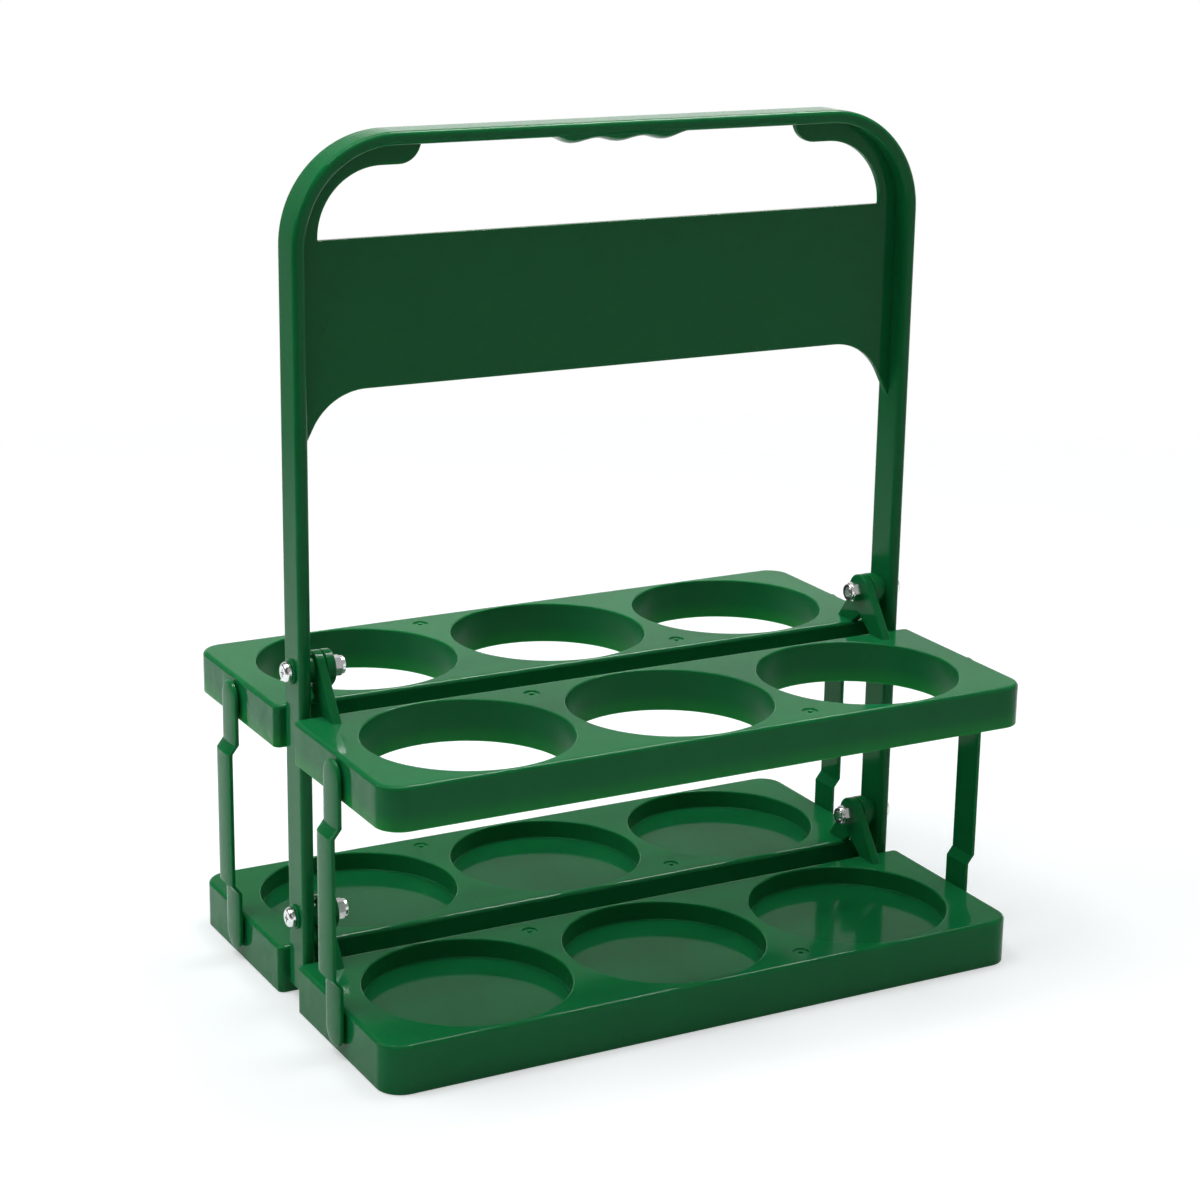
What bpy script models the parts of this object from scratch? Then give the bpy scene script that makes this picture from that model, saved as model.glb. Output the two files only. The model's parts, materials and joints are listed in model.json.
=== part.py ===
"""Foldable drink holder: four moulded trays that hinge on one carrying frame.

The frame stands across the middle, with a leg at each end and a handle on top.
Two trays hinge on it at each level, one in front and one behind. The upper
trays have open rings, and the lower trays have round recesses below them. An
upright link at each end joins an upper tray to the lower tray under it, so
that both fold up against the frame together.

+X runs along the trays, +Y to the back and +Z up. The origin lies under the
centre, on the surface that the lower trays stand on.
"""
import math

import bmesh
import bpy
from mathutils import Matrix, Vector

MM = 0.001

# Trays
TRAY_LENGTH = 310 * MM
TRAY_INNER_Y = 9.8 * MM
TRAY_OUTER_Y = 105.0 * MM
TRAY_OUTER_CORNER = 11.0 * MM
TRAY_INNER_CORNER = 3.0 * MM
TRAY_EDGE_FILLET = 1.9 * MM
UPPER_TRAY_HEIGHT = 19.0 * MM
LOWER_TRAY_HEIGHT = 21.5 * MM
DECK_THICKNESS = 2.4 * MM
SKIRT_THICKNESS = 2.4 * MM
RIB_THICKNESS = 1.8 * MM

# Bottle holes and recesses
HOLE_DIAMETER = 90.0 * MM
HOLE_PITCH = 96.3 * MM
HOLE_RIM_FILLET = 0.8 * MM
COLLAR_THICKNESS = 2.4 * MM
RECESS_FLOOR_TOP = 12.6 * MM
RECESS_FLOOR_THICKNESS = 2.2 * MM
UNDERSIDE_RELIEF = RECESS_FLOOR_TOP - RECESS_FLOOR_THICKNESS
UNDERSIDE_RELIEF_RADIUS = 44.5 * MM
GATE_MARK_DIAMETER = 7.2 * MM
GATE_MARK_DEPTH = 0.6 * MM
GATE_MARK_OFFSET_Y = 36.5 * MM

# Pockets on the underside of a tray
CUSP_POCKET_START = 15.0 * MM
CUSP_POCKET_TIP = 1.0 * MM
END_RIB_OFFSET = 16.5 * MM
END_WALL_THICKNESS = 4.0 * MM
END_POCKET_INNER_CORNER = 1.0 * MM

# Bolts that the trays hinge on
BOLT_DROP = 17.9 * MM
UPPER_BOLT_Z = 150.6 * MM
LOWER_BOLT_Z = LOWER_TRAY_HEIGHT + BOLT_DROP
BOLT_DIAMETER = 5.0 * MM
BOLT_HOLE_DIAMETER = 5.6 * MM

# Ears of the trays
EAR_THICKNESS = 4.0 * MM
EAR_RADIUS = 7.8 * MM
EAR_FOOT_Y = 23.0 * MM
EAR_BACK_Y = 10.4 * MM
EAR_SINK = 1.5 * MM
EAR_BEVEL = 0.4 * MM
EAR_NEAR_LEG_X = 142.0 * MM
EAR_NEAR_NUT_X = 137.6 * MM

# Carrying frame
LEG_OUTER_X = 151.0 * MM
FRAME_THICKNESS = 5.7 * MM
FRAME_HALF_DEPTH = 9.0 * MM
FRAME_FOOT_Z = 6.0 * MM
FRAME_TOP_Z = 375.4 * MM
FRAME_CORNER = 46.0 * MM
FRAME_EDGE_BEVEL = 0.6 * MM
BOSS_OUTER_DIAMETER = 10.8 * MM
BOSS_OUTER_HEIGHT = 1.2 * MM
BOSS_INNER_DIAMETER = 11.5 * MM
BOSS_INNER_HEIGHT = 3.1 * MM

# Web inside the frame, with the handle opening
WEB_FRONT_Y = 0.2 * MM
WEB_BACK_Y = 3.2 * MM
WEB_BEVEL = 0.35 * MM
WEB_BOTTOM_Z = 268.9 * MM
WEB_BOTTOM_END_X = 115.4 * MM
WEB_BOTTOM_CORNER = 27.0 * MM
WEB_SLANT = 63.0
OPENING_BOTTOM_Z = 331.7 * MM
OPENING_SIDE_X = 136.5 * MM
OPENING_BOTTOM_CORNER = 1.0 * MM
OPENING_CORNER = 28.5 * MM
OPENING_CORNER_Z = 332.4 * MM
OPENING_TIP_X = 100.0 * MM
OPENING_TIP_RADIUS = 10.0 * MM

# Finger bumps under the handle
BUMP_PITCH = 22.0 * MM
BUMP_MEAN_DEPTH = 2.8 * MM
BUMP_WAVE = 0.9 * MM
BUMP_FADE = 13.0 * MM
BUMP_HALF_WIDTH = 8.0 * MM
BUMP_ROOT = 0.5 * MM

# Links
LINK_Y = 57.0 * MM
LINK_PIVOT_DROP = 9.5 * MM
LINK_RADIUS = 7.7 * MM
LINK_THICKNESS = 2.5 * MM
LINK_STANDOFF = 1.3 * MM
LINK_GAP = 0.3 * MM
LINK_JOG = 3.1 * MM
LINK_JOG_START = 20.5 * MM
LINK_JOG_END = 24.5 * MM
LINK_BEVEL = 0.35 * MM
LINK_TIP_HALF_WIDTH = 0.8 * MM
PEG_DIAMETER = 5.0 * MM
PEG_HOLE_DIAMETER = 5.8 * MM
PEG_HEAD_DIAMETER = 7.5 * MM
PEG_HEAD_HEIGHT = 1.5 * MM
PEG_SHOULDER_DIAMETER = 9.0 * MM

# Screws, nuts and their nylon rings, by their places along the bolt
SCREW_HEAD_DIAMETER = 9.0 * MM
SCREW_HEAD_X = 152.5 * MM
SCREW_HEAD_HEIGHT = 2.8 * MM
SCREW_HEAD_RIM = 0.8 * MM
SCREW_HEAD_FACE_RADIUS = 2.9 * MM
SCREW_TIP_X = 127.4 * MM
SCREW_TIP_CHAMFER = 0.5 * MM
CROSS_SPAN = 4.8 * MM
CROSS_SLOT = 1.2 * MM
CROSS_DEPTH = 1.9 * MM
CROSS_TAPER = 0.5
NUT_ACROSS_FLATS = 8.0 * MM
NUT_OUTER_X = 133.4 * MM
NUT_HEX_HEIGHT = 4.2 * MM
NUT_COLLAR_HEIGHT = 1.6 * MM
NUT_COLLAR_RADIUS = 3.95 * MM
NUT_CHAMFER = 0.45 * MM
NYLON_SEAT_RADIUS = 3.65 * MM
NYLON_SEAT_DEPTH = 2.6 * MM
NYLON_OUTER_RADIUS = 3.4 * MM
NYLON_INNER_RADIUS = 2.75 * MM
NYLON_LENGTH = 2.0 * MM
NYLON_RECESS = 0.3 * MM

# Facets of round shapes
HOLE_STEPS = 36
RELIEF_STEPS = 28
COLLAR_STEPS = 4
CORNER_STEPS = 4
FRAME_CORNER_STEPS = 9
EAR_STEPS = 8
HARDWARE_STEPS = 12
SMALL_STEPS = 12
BUMP_STATIONS = 16
BUMP_STEPS = 6
SMOOTH_ANGLE = math.radians(35)
MERGE_DISTANCE = 0.000001

# Worked out from the sizes above
HOLE_RADIUS = HOLE_DIAMETER / 2
COLLAR_RADIUS = HOLE_RADIUS + COLLAR_THICKNESS
TRAY_HALF_LENGTH = TRAY_LENGTH / 2
TRAY_CENTRE_Y = (TRAY_INNER_Y + TRAY_OUTER_Y) / 2
TRAY_HALF_DEPTH = (TRAY_OUTER_Y - TRAY_INNER_Y) / 2
HOLE_PLACES = (-HOLE_PITCH, 0.0, HOLE_PITCH)
FRAME_CORNER_X = LEG_OUTER_X - FRAME_CORNER
FRAME_CORNER_Z = FRAME_TOP_Z - FRAME_CORNER


def remove_everything():
    """Start from an empty scene."""
    for old in list(bpy.data.objects):
        bpy.data.objects.remove(old, do_unlink=True)


def polar(centre, radius, degrees):
    """The point at an angle on a circle, as a pair."""
    angle = math.radians(degrees)
    return (centre[0] + radius * math.cos(angle), centre[1] + radius * math.sin(angle))


def arc(centre, radius, start, end, steps):
    """Points along an arc from start to end, in degrees, with both ends."""
    turns = [start + (end - start) * step / steps for step in range(steps + 1)]
    return [polar(centre, radius, turn) for turn in turns]


def in_space(plane, first, second, along):
    """A point from its place in a plane and its place along that plane's normal."""
    if plane == "xy":
        return Vector((first, second, along))
    if plane == "xz":
        return Vector((first, along, second))
    return Vector((along, first, second))


def extruded(outline, low, high, plane):
    """A closed body made by pushing a flat outline from low to high."""
    body = bmesh.new()
    corners = [body.verts.new(in_space(plane, a, b, low)) for a, b in outline]
    face = body.faces.new(corners)
    grown = bmesh.ops.extrude_face_region(body, geom=[face])
    moved = [item for item in grown["geom"] if isinstance(item, bmesh.types.BMVert)]
    bmesh.ops.translate(body, verts=moved, vec=in_space(plane, 0, 0, high - low))
    bmesh.ops.recalc_face_normals(body, faces=body.faces)
    return body


def turned(profile, steps, closed=False):
    """A body turned round the X axis from (along, radius) pairs.

    An open profile gets a flat face at each end, and a closed one makes a ring.
    """
    body = bmesh.new()
    line = [body.verts.new((along, 0, radius)) for along, radius in profile]
    pairs = list(zip(line, line[1:]))
    if closed:
        pairs.append((line[-1], line[0]))
    edges = [body.edges.new(pair) for pair in pairs]
    bmesh.ops.spin(body, geom=line + edges, cent=(0, 0, 0), axis=(1, 0, 0),
                   angle=math.tau, steps=steps, use_merge=True)
    bmesh.ops.holes_fill(body, edges=body.edges, sides=0)
    bmesh.ops.recalc_face_normals(body, faces=body.faces)
    return body


def upright(body, x, y):
    """Turn a body from the X axis onto a vertical axis at x and y."""
    bmesh.ops.rotate(body, verts=body.verts, cent=(0, 0, 0), matrix=Matrix.Rotation(-math.pi / 2, 3, "Y"))
    bmesh.ops.translate(body, verts=body.verts, vec=(x, y, 0))
    return body


def bevelled(body, chosen, width, segments=1):
    """Round or chamfer the edges that the test picks."""
    edges = [edge for edge in body.edges if chosen(edge)]
    bmesh.ops.bevel(body, geom=edges, offset=width, segments=segments, profile=0.5, affect="EDGES")
    return body


def edges_level_with(axis, *levels):
    """A test for edges that lie in a plane across an axis, at any of the levels."""
    def chosen(edge):
        ends = [vertex.co[axis] for vertex in edge.verts]
        return any(max(abs(end - level) for end in ends) < MERGE_DISTANCE for level in levels)
    return chosen


def as_object(name, body):
    """Turn a bmesh into an object of the scene, and free the bmesh."""
    mesh = bpy.data.meshes.new(name)
    body.to_mesh(mesh)
    body.free()
    made = bpy.data.objects.new(name, mesh)
    bpy.context.collection.objects.link(made)
    return made


def boolean(body, tools, operation):
    """Join tools to a body or cut them from it, one after another."""
    for tool in tools:
        target = as_object("target", body)
        cutter = as_object("cutter", tool)
        step = target.modifiers.new("step", "BOOLEAN")
        step.operation = operation
        step.solver = "EXACT"
        step.object = cutter
        bpy.context.view_layer.update()
        body = bmesh.new()
        body.from_object(target, bpy.context.evaluated_depsgraph_get())
        for spent in (target, cutter):
            bpy.data.objects.remove(spent, do_unlink=True)
    return body


def finished_mesh(name, body, material):
    """The mesh of a finished body, smooth over its round faces and sharp at its edges."""
    bmesh.ops.remove_doubles(body, verts=body.verts, dist=MERGE_DISTANCE)
    bmesh.ops.dissolve_degenerate(body, edges=body.edges, dist=MERGE_DISTANCE)
    bmesh.ops.recalc_face_normals(body, faces=body.faces)
    mesh = bpy.data.meshes.new(name)
    body.to_mesh(mesh)
    body.free()
    mesh.materials.append(material)
    mesh.shade_smooth()
    mesh.set_sharp_from_angle(angle=SMOOTH_ANGLE)
    return mesh


def placed(name, mesh, location, half_turn=False):
    """An object at its pivot, turned half round the upright axis if asked."""
    made = bpy.data.objects.new(name, mesh)
    made.location = location
    made.rotation_euler = (0, 0, math.pi if half_turn else 0)
    bpy.context.collection.objects.link(made)
    return made


def plastic(name, colour, roughness):
    """A moulded plastic."""
    material = bpy.data.materials.new(name)
    material.use_nodes = True
    shader = material.node_tree.nodes["Principled BSDF"]
    shader.inputs["Base Color"].default_value = (*colour, 1)
    shader.inputs["Roughness"].default_value = roughness
    shader.inputs["Metallic"].default_value = 0
    return material


def plated_steel(name, colour, roughness):
    """Zinc plated steel."""
    material = plastic(name, colour, roughness)
    material.node_tree.nodes["Principled BSDF"].inputs["Metallic"].default_value = 1
    return material


def rounded_rectangle(low_x, high_x, low_y, high_y, low_radius, high_radius):
    """A plan with one corner radius at the low Y side and another at the high Y side."""
    outline = []
    outline += arc((high_x - low_radius, low_y + low_radius), low_radius, -90, 0, CORNER_STEPS)
    outline += arc((high_x - high_radius, high_y - high_radius), high_radius, 0, 90, CORNER_STEPS)
    outline += arc((low_x + high_radius, high_y - high_radius), high_radius, 90, 180, CORNER_STEPS)
    outline += arc((low_x + low_radius, low_y + low_radius), low_radius, 180, 270, CORNER_STEPS)
    return outline


def hole_cutter(x, floor, top):
    """What a bottle hole takes away, with its rim flared by the fillet."""
    fillet = HOLE_RIM_FILLET
    rim_centre = (top - fillet, HOLE_RADIUS + fillet)
    rim = [(rim_centre[0] + fillet * math.sin(turn), rim_centre[1] - fillet * math.cos(turn))
           for turn in (math.radians(25), math.radians(60))]
    flare = (top + fillet / 2, HOLE_RADIUS + fillet * 1.5)
    profile = [(floor, HOLE_RADIUS), (top - fillet, HOLE_RADIUS), *rim, flare]
    return upright(turned(profile, HOLE_STEPS), x, -TRAY_CENTRE_Y)


def disc_cutter(x, y, radius, low, high, steps):
    """A plain upright disc."""
    return upright(turned([(low, radius), (high, radius)], steps), x, y)


def collar_arc(hole_x, side_x, side_y, near, far):
    """Points round a hole's collar, from near to far of the tray's centre line."""
    start = math.degrees(math.asin(near / COLLAR_RADIUS))
    end = math.degrees(math.asin(far / COLLAR_RADIUS))
    points = arc((0, 0), COLLAR_RADIUS, start, end, COLLAR_STEPS)
    return [(hole_x + side_x * a, -TRAY_CENTRE_Y + side_y * b) for a, b in points]


def cusp_pocket(hole_x, side_x, side_y):
    """The pocket between a hole's collar, the skirt and the rib to the next hole."""
    skirt = TRAY_HALF_DEPTH - SKIRT_THICKNESS
    rib = HOLE_PITCH / 2 - RIB_THICKNESS / 2
    tip = skirt - CUSP_POCKET_TIP
    outline = collar_arc(hole_x, side_x, side_y, CUSP_POCKET_START, tip)
    tip_x = abs(outline[-1][0] - hole_x)
    corners = ((tip_x, skirt), (rib, skirt), (rib, CUSP_POCKET_START))
    return outline + [(hole_x + side_x * a, -TRAY_CENTRE_Y + side_y * b) for a, b in corners]


def end_pocket(side_x, side_y):
    """The pocket in a corner of the tray, outside the last hole."""
    hole_x = side_x * HOLE_PITCH
    skirt = TRAY_HALF_DEPTH - SKIRT_THICKNESS
    wall = TRAY_HALF_LENGTH - HOLE_PITCH - SKIRT_THICKNESS
    corner = TRAY_OUTER_CORNER - SKIRT_THICKNESS
    if side_y > 0:
        corner = END_POCKET_INNER_CORNER
    near = END_RIB_OFFSET + RIB_THICKNESS / 2
    outline = collar_arc(hole_x, side_x, side_y, near, skirt - CUSP_POCKET_TIP)
    tip_x = abs(outline[-1][0] - hole_x)
    corners = [(tip_x, skirt)]
    corners += arc((wall - corner, skirt - corner), corner, 90, 0, CORNER_STEPS)
    corners += [(wall, near)]
    return outline + [(hole_x + side_x * a, -TRAY_CENTRE_Y + side_y * b) for a, b in corners]


def link_pocket(side_x):
    """The pocket behind the thick piece of end wall that holds the link's peg."""
    hole_x = side_x * HOLE_PITCH
    wall = TRAY_HALF_LENGTH - HOLE_PITCH - END_WALL_THICKNESS
    far = END_RIB_OFFSET - RIB_THICKNESS / 2
    turn = math.degrees(math.asin(far / COLLAR_RADIUS))
    outline = arc((0, 0), COLLAR_RADIUS, -turn, turn, COLLAR_STEPS)
    outline += [(wall, far), (wall, -far)]
    return [(hole_x + side_x * a, -TRAY_CENTRE_Y + b) for a, b in outline]


def pocket_outlines():
    """Every pocket on the underside of a tray."""
    outlines = []
    for side_y in (-1, 1):
        for gap in (-1, 1):
            outlines.append(cusp_pocket(0, gap, side_y))
            outlines.append(cusp_pocket(gap * HOLE_PITCH, -gap, side_y))
            outlines.append(end_pocket(gap, side_y))
    outlines += [link_pocket(side_x) for side_x in (-1, 1)]
    return outlines


def tangent_turns(point):
    """The two directions, in degrees, from a point that just touch the ear's disc."""
    distance = math.hypot(*point)
    towards = math.degrees(math.atan2(-point[1], -point[0]))
    spread = math.degrees(math.asin(EAR_RADIUS / distance))
    return towards + spread, towards - spread


def ear_outline():
    """The ear from the side: a disc round the bolt with two straight edges to the tray."""
    foot = (-EAR_FOOT_Y, -BOLT_DROP)
    back = (-EAR_BACK_Y, -BOLT_DROP)
    front_turn = tangent_turns(foot)[0]
    back_turn = tangent_turns(back)[1]
    front_run = EAR_SINK / math.tan(math.radians(front_turn))
    back_run = EAR_SINK / math.tan(math.radians(back_turn))
    sunk = -BOLT_DROP - EAR_SINK
    outline = [(foot[0] - front_run, sunk), (back[0] - back_run, sunk)]
    return outline + arc((0, 0), EAR_RADIUS, back_turn - 90, front_turn + 90, EAR_STEPS)


def ear(outer_x, direction):
    """One ear, from its face at outer_x inwards along X."""
    inner_x = outer_x - direction * EAR_THICKNESS
    low, high = sorted((outer_x, inner_x))
    body = extruded(ear_outline(), low, high, "yz")
    return bevelled(body, edges_level_with(0, low, high), EAR_BEVEL)


def tray_body(height, floor):
    """The front tray of a level, seen from its hinge axis.

    A floor height above the base makes a recess, and None leaves an open ring.
    """
    top = -BOLT_DROP
    base = top - height
    plan = rounded_rectangle(-TRAY_HALF_LENGTH, TRAY_HALF_LENGTH, -TRAY_OUTER_Y, -TRAY_INNER_Y,
                             TRAY_OUTER_CORNER, TRAY_INNER_CORNER)
    body = extruded(plan, base, top, "xy")
    body = bevelled(body, edges_level_with(2, top), TRAY_EDGE_FILLET, 2)
    hole_floor = base - 1 * MM if floor is None else base + floor
    cuts = [hole_cutter(x, hole_floor, top) for x in HOLE_PLACES]
    if floor is not None:
        cuts += [disc_cutter(x, -TRAY_CENTRE_Y, UNDERSIDE_RELIEF_RADIUS, base - 1 * MM,
                             base + UNDERSIDE_RELIEF, RELIEF_STEPS) for x in HOLE_PLACES]
    for outline in pocket_outlines():
        cuts.append(extruded(outline, base - 1 * MM, top - DECK_THICKNESS, "xy"))
    for side in (-1, 1):
        cuts.append(disc_cutter(side * HOLE_PITCH / 2, -TRAY_CENTRE_Y - side * GATE_MARK_OFFSET_Y,
                                GATE_MARK_DIAMETER / 2, top - GATE_MARK_DEPTH, top + 1 * MM, SMALL_STEPS))
    body = boolean(body, cuts, "DIFFERENCE")
    body = boolean(body, [ear(-EAR_NEAR_LEG_X, -1), ear(EAR_NEAR_NUT_X, 1)], "UNION")
    reach = TRAY_HALF_LENGTH + 1 * MM
    bolt_hole = turned([(-reach, BOLT_HOLE_DIAMETER / 2), (reach, BOLT_HOLE_DIAMETER / 2)], HARDWARE_STEPS)
    return boolean(body, [bolt_hole, *peg_holes(top)], "DIFFERENCE")


def peg_holes(top):
    """The holes in both end walls that the links' pegs turn in."""
    holes = []
    inside = TRAY_HALF_LENGTH - END_WALL_THICKNESS - 1 * MM
    outside = TRAY_HALF_LENGTH + 1 * MM
    radius = PEG_HOLE_DIAMETER / 2
    for side in (-1, 1):
        low, high = sorted((side * inside, side * outside))
        hole = turned([(low, radius), (high, radius)], SMALL_STEPS)
        bmesh.ops.translate(hole, verts=hole.verts, vec=(0, -LINK_Y, top - LINK_PIVOT_DROP))
        holes.append(hole)
    return holes


def flange_outline():
    """The frame from the front: two legs and the arch that joins them."""
    outer_x = LEG_OUTER_X
    inner_x = LEG_OUTER_X - FRAME_THICKNESS
    centre = (FRAME_CORNER_X, FRAME_CORNER_Z)
    half = [(inner_x, FRAME_FOOT_Z), (outer_x, FRAME_FOOT_Z)]
    half += arc(centre, FRAME_CORNER, 0, 90, FRAME_CORNER_STEPS)
    inner = arc(centre, FRAME_CORNER - FRAME_THICKNESS, 90, 0, FRAME_CORNER_STEPS)
    mirrored_outer = [(-x, z) for x, z in reversed(half)]
    mirrored_inner = [(-x, z) for x, z in reversed(inner)]
    return half + mirrored_outer + mirrored_inner + inner


def web_outline():
    """The web from the front, with its outer edge sunk into the flange."""
    sunk = FRAME_THICKNESS / 2
    sunk_x = LEG_OUTER_X - sunk
    sunk_z = FRAME_TOP_Z - sunk
    centre = (FRAME_CORNER_X, FRAME_CORNER_Z)
    tip_centre = (OPENING_TIP_X, OPENING_CORNER_Z + OPENING_CORNER + OPENING_TIP_RADIUS)
    half = arc((WEB_BOTTOM_END_X, WEB_BOTTOM_Z - WEB_BOTTOM_CORNER), WEB_BOTTOM_CORNER,
               90, 90 - WEB_SLANT, 2 * CORNER_STEPS)
    slant_x, slant_z = half[-1]
    half.append((sunk_x, slant_z - (sunk_x - slant_x) * math.tan(math.radians(WEB_SLANT))))
    half += arc(centre, FRAME_CORNER - sunk, 0, 90, FRAME_CORNER_STEPS)
    half += [(OPENING_TIP_X - OPENING_TIP_RADIUS, sunk_z)]
    half += arc(tip_centre, OPENING_TIP_RADIUS, 180, 270, CORNER_STEPS)
    half += arc((OPENING_SIDE_X - OPENING_CORNER, OPENING_CORNER_Z), OPENING_CORNER, 90, 0,
                FRAME_CORNER_STEPS)
    half += arc((OPENING_SIDE_X - OPENING_BOTTOM_CORNER, OPENING_BOTTOM_Z + OPENING_BOTTOM_CORNER),
                OPENING_BOTTOM_CORNER, 0, -90, 2)
    return half + [(-x, z) for x, z in reversed(half)]


def bump_depth(x):
    """How far the finger bumps hang below the handle at x."""
    along = abs(x)
    crest = BUMP_MEAN_DEPTH + BUMP_WAVE
    if along <= BUMP_PITCH:
        return BUMP_MEAN_DEPTH + BUMP_WAVE * math.cos(math.tau * along / BUMP_PITCH)
    fade = (1 + math.cos(math.pi * (along - BUMP_PITCH) / BUMP_FADE)) / 2
    return (crest + BUMP_ROOT / 2) * fade - BUMP_ROOT / 2


def finger_bumps():
    """Three rounded waves under the middle of the handle."""
    under = FRAME_TOP_Z - FRAME_THICKNESS
    reach = BUMP_PITCH + BUMP_FADE
    body = bmesh.new()
    rings = []
    for step in range(BUMP_STATIONS + 1):
        x = -reach + 2 * reach * step / BUMP_STATIONS
        depth = bump_depth(x) + BUMP_ROOT
        turns = [math.pi * part / BUMP_STEPS for part in range(BUMP_STEPS + 1)]
        rings.append([body.verts.new((x, BUMP_HALF_WIDTH * math.cos(turn), under + BUMP_ROOT - depth * math.sin(turn)))
                      for turn in turns])
    for first, second in zip(rings, rings[1:]):
        for here in range(BUMP_STEPS + 1):
            there = (here + 1) % (BUMP_STEPS + 1)
            body.faces.new((first[here], first[there], second[there], second[here]))
    body.faces.new(rings[0])
    body.faces.new(rings[-1])
    bmesh.ops.recalc_face_normals(body, faces=body.faces)
    return body


def boss(side, bolt_z):
    """The raised rings round a bolt hole, on both faces of a leg."""
    middle = LEG_OUTER_X - FRAME_THICKNESS / 2
    inner_end = LEG_OUTER_X - FRAME_THICKNESS - BOSS_INNER_HEIGHT
    outer_end = LEG_OUTER_X + BOSS_OUTER_HEIGHT
    profile = [(inner_end, BOSS_INNER_DIAMETER / 2), (middle, BOSS_INNER_DIAMETER / 2),
               (middle, BOSS_OUTER_DIAMETER / 2), (outer_end, BOSS_OUTER_DIAMETER / 2)]
    body = turned([(side * along, radius) for along, radius in profile], HARDWARE_STEPS)
    bmesh.ops.translate(body, verts=body.verts, vec=(0, 0, bolt_z))
    return body


def frame_body():
    """The carrying frame: flange, web, finger bumps and bosses in one moulding."""
    front = -FRAME_HALF_DEPTH
    back = FRAME_HALF_DEPTH
    body = extruded(flange_outline(), front, back, "xz")
    body = bevelled(body, edges_level_with(1, front, back), FRAME_EDGE_BEVEL)
    web = extruded(web_outline(), WEB_FRONT_Y, WEB_BACK_Y, "xz")
    web = bevelled(web, edges_level_with(1, WEB_FRONT_Y, WEB_BACK_Y), WEB_BEVEL)
    bosses = [boss(side, bolt_z) for side in (-1, 1) for bolt_z in (LOWER_BOLT_Z, UPPER_BOLT_Z)]
    body = boolean(body, [web, finger_bumps(), *bosses], "UNION")
    holes = []
    reach = LEG_OUTER_X + 10 * MM
    for bolt_z in (LOWER_BOLT_Z, UPPER_BOLT_Z):
        hole = turned([(-reach, BOLT_HOLE_DIAMETER / 2), (reach, BOLT_HOLE_DIAMETER / 2)], HARDWARE_STEPS)
        bmesh.ops.translate(hole, verts=hole.verts, vec=(0, 0, bolt_z))
        holes.append(hole)
    return boolean(body, holes, "DIFFERENCE")


def link_stations():
    """Heights down the link's upper half, with its half width and its offset at each."""
    stations = []
    for step in range(1, CORNER_STEPS + 1):
        turn = math.pi / 2 * (1 - step / CORNER_STEPS)
        stations.append((LINK_RADIUS * math.sin(turn), LINK_RADIUS * math.cos(turn), 0.0))
    flat_z = math.sqrt(LINK_RADIUS ** 2 - LINK_TIP_HALF_WIDTH ** 2)
    stations.insert(0, (flat_z, LINK_TIP_HALF_WIDTH, 0.0))
    stations.append((-LINK_JOG_START, LINK_RADIUS, 0.0))
    stations.append((-LINK_JOG_END, LINK_RADIUS, LINK_JOG))
    return stations


def link_body():
    """A link on the right of the object, seen from its upper pivot on the tray's end."""
    length = UPPER_BOLT_Z - LOWER_BOLT_Z
    upper = link_stations()
    lower = [(-length - z, half, jog) for z, half, jog in reversed(upper)]
    body = bmesh.new()
    rows = []
    for z, half, jog in upper + lower:
        x = LINK_STANDOFF + jog
        rows.append((body.verts.new((x, -half, z)), body.verts.new((x, half, z))))
    faces = [body.faces.new((a[0], a[1], b[1], b[0])) for a, b in zip(rows, rows[1:])]
    grown = bmesh.ops.extrude_face_region(body, geom=faces)
    moved = [item for item in grown["geom"] if isinstance(item, bmesh.types.BMVert)]
    bmesh.ops.translate(body, verts=moved, vec=(LINK_THICKNESS, 0, 0))
    bmesh.ops.recalc_face_normals(body, faces=body.faces)
    body = bevelled(body, lambda edge: edge.calc_face_angle(0) > math.radians(50)
                    and abs(edge.verts[0].co.x - edge.verts[1].co.x) < LINK_JOG + MERGE_DISTANCE
                    and not is_across(edge), LINK_BEVEL)
    return boolean(body, [peg(0.0), peg(-length)], "UNION")


def is_across(edge):
    """Whether an edge runs straight through the link's thickness."""
    run = edge.verts[1].co - edge.verts[0].co
    return abs(run.y) < MERGE_DISTANCE and abs(run.z) < MERGE_DISTANCE


def peg(z):
    """A headed peg from the link into the tray's end wall, with a shoulder that spaces them."""
    root = LINK_STANDOFF + LINK_THICKNESS / 2
    shoulder = PEG_SHOULDER_DIAMETER / 2
    neck = -END_WALL_THICKNESS - LINK_GAP
    tip = neck - PEG_HEAD_HEIGHT
    chamfer = PEG_HEAD_HEIGHT / 3
    head = PEG_HEAD_DIAMETER / 2
    profile = [(tip, head - chamfer), (tip + chamfer, head), (neck, head),
               (neck, PEG_DIAMETER / 2), (LINK_GAP, PEG_DIAMETER / 2), (LINK_GAP, shoulder),
               (root, shoulder)]
    body = turned(profile, SMALL_STEPS)
    bmesh.ops.translate(body, verts=body.verts, vec=(0, 0, z))
    return body


def cross_recess(face_x):
    """The tapered cross that a screwdriver fits."""
    arm = CROSS_SPAN / 2
    half = CROSS_SLOT / 2
    quarter = [(arm, -half), (arm, half), (half, half)]
    outline = []
    for turn in range(4):
        spin = Matrix.Rotation(turn * math.pi / 2, 2)
        outline += [tuple(spin @ Vector(point)) for point in quarter]
    body = extruded(outline, face_x - CROSS_DEPTH, face_x + 1 * MM, "yz")
    for vertex in body.verts:
        if vertex.co.x < face_x:
            vertex.co.y *= CROSS_TAPER
            vertex.co.z *= CROSS_TAPER
    return body


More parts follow.
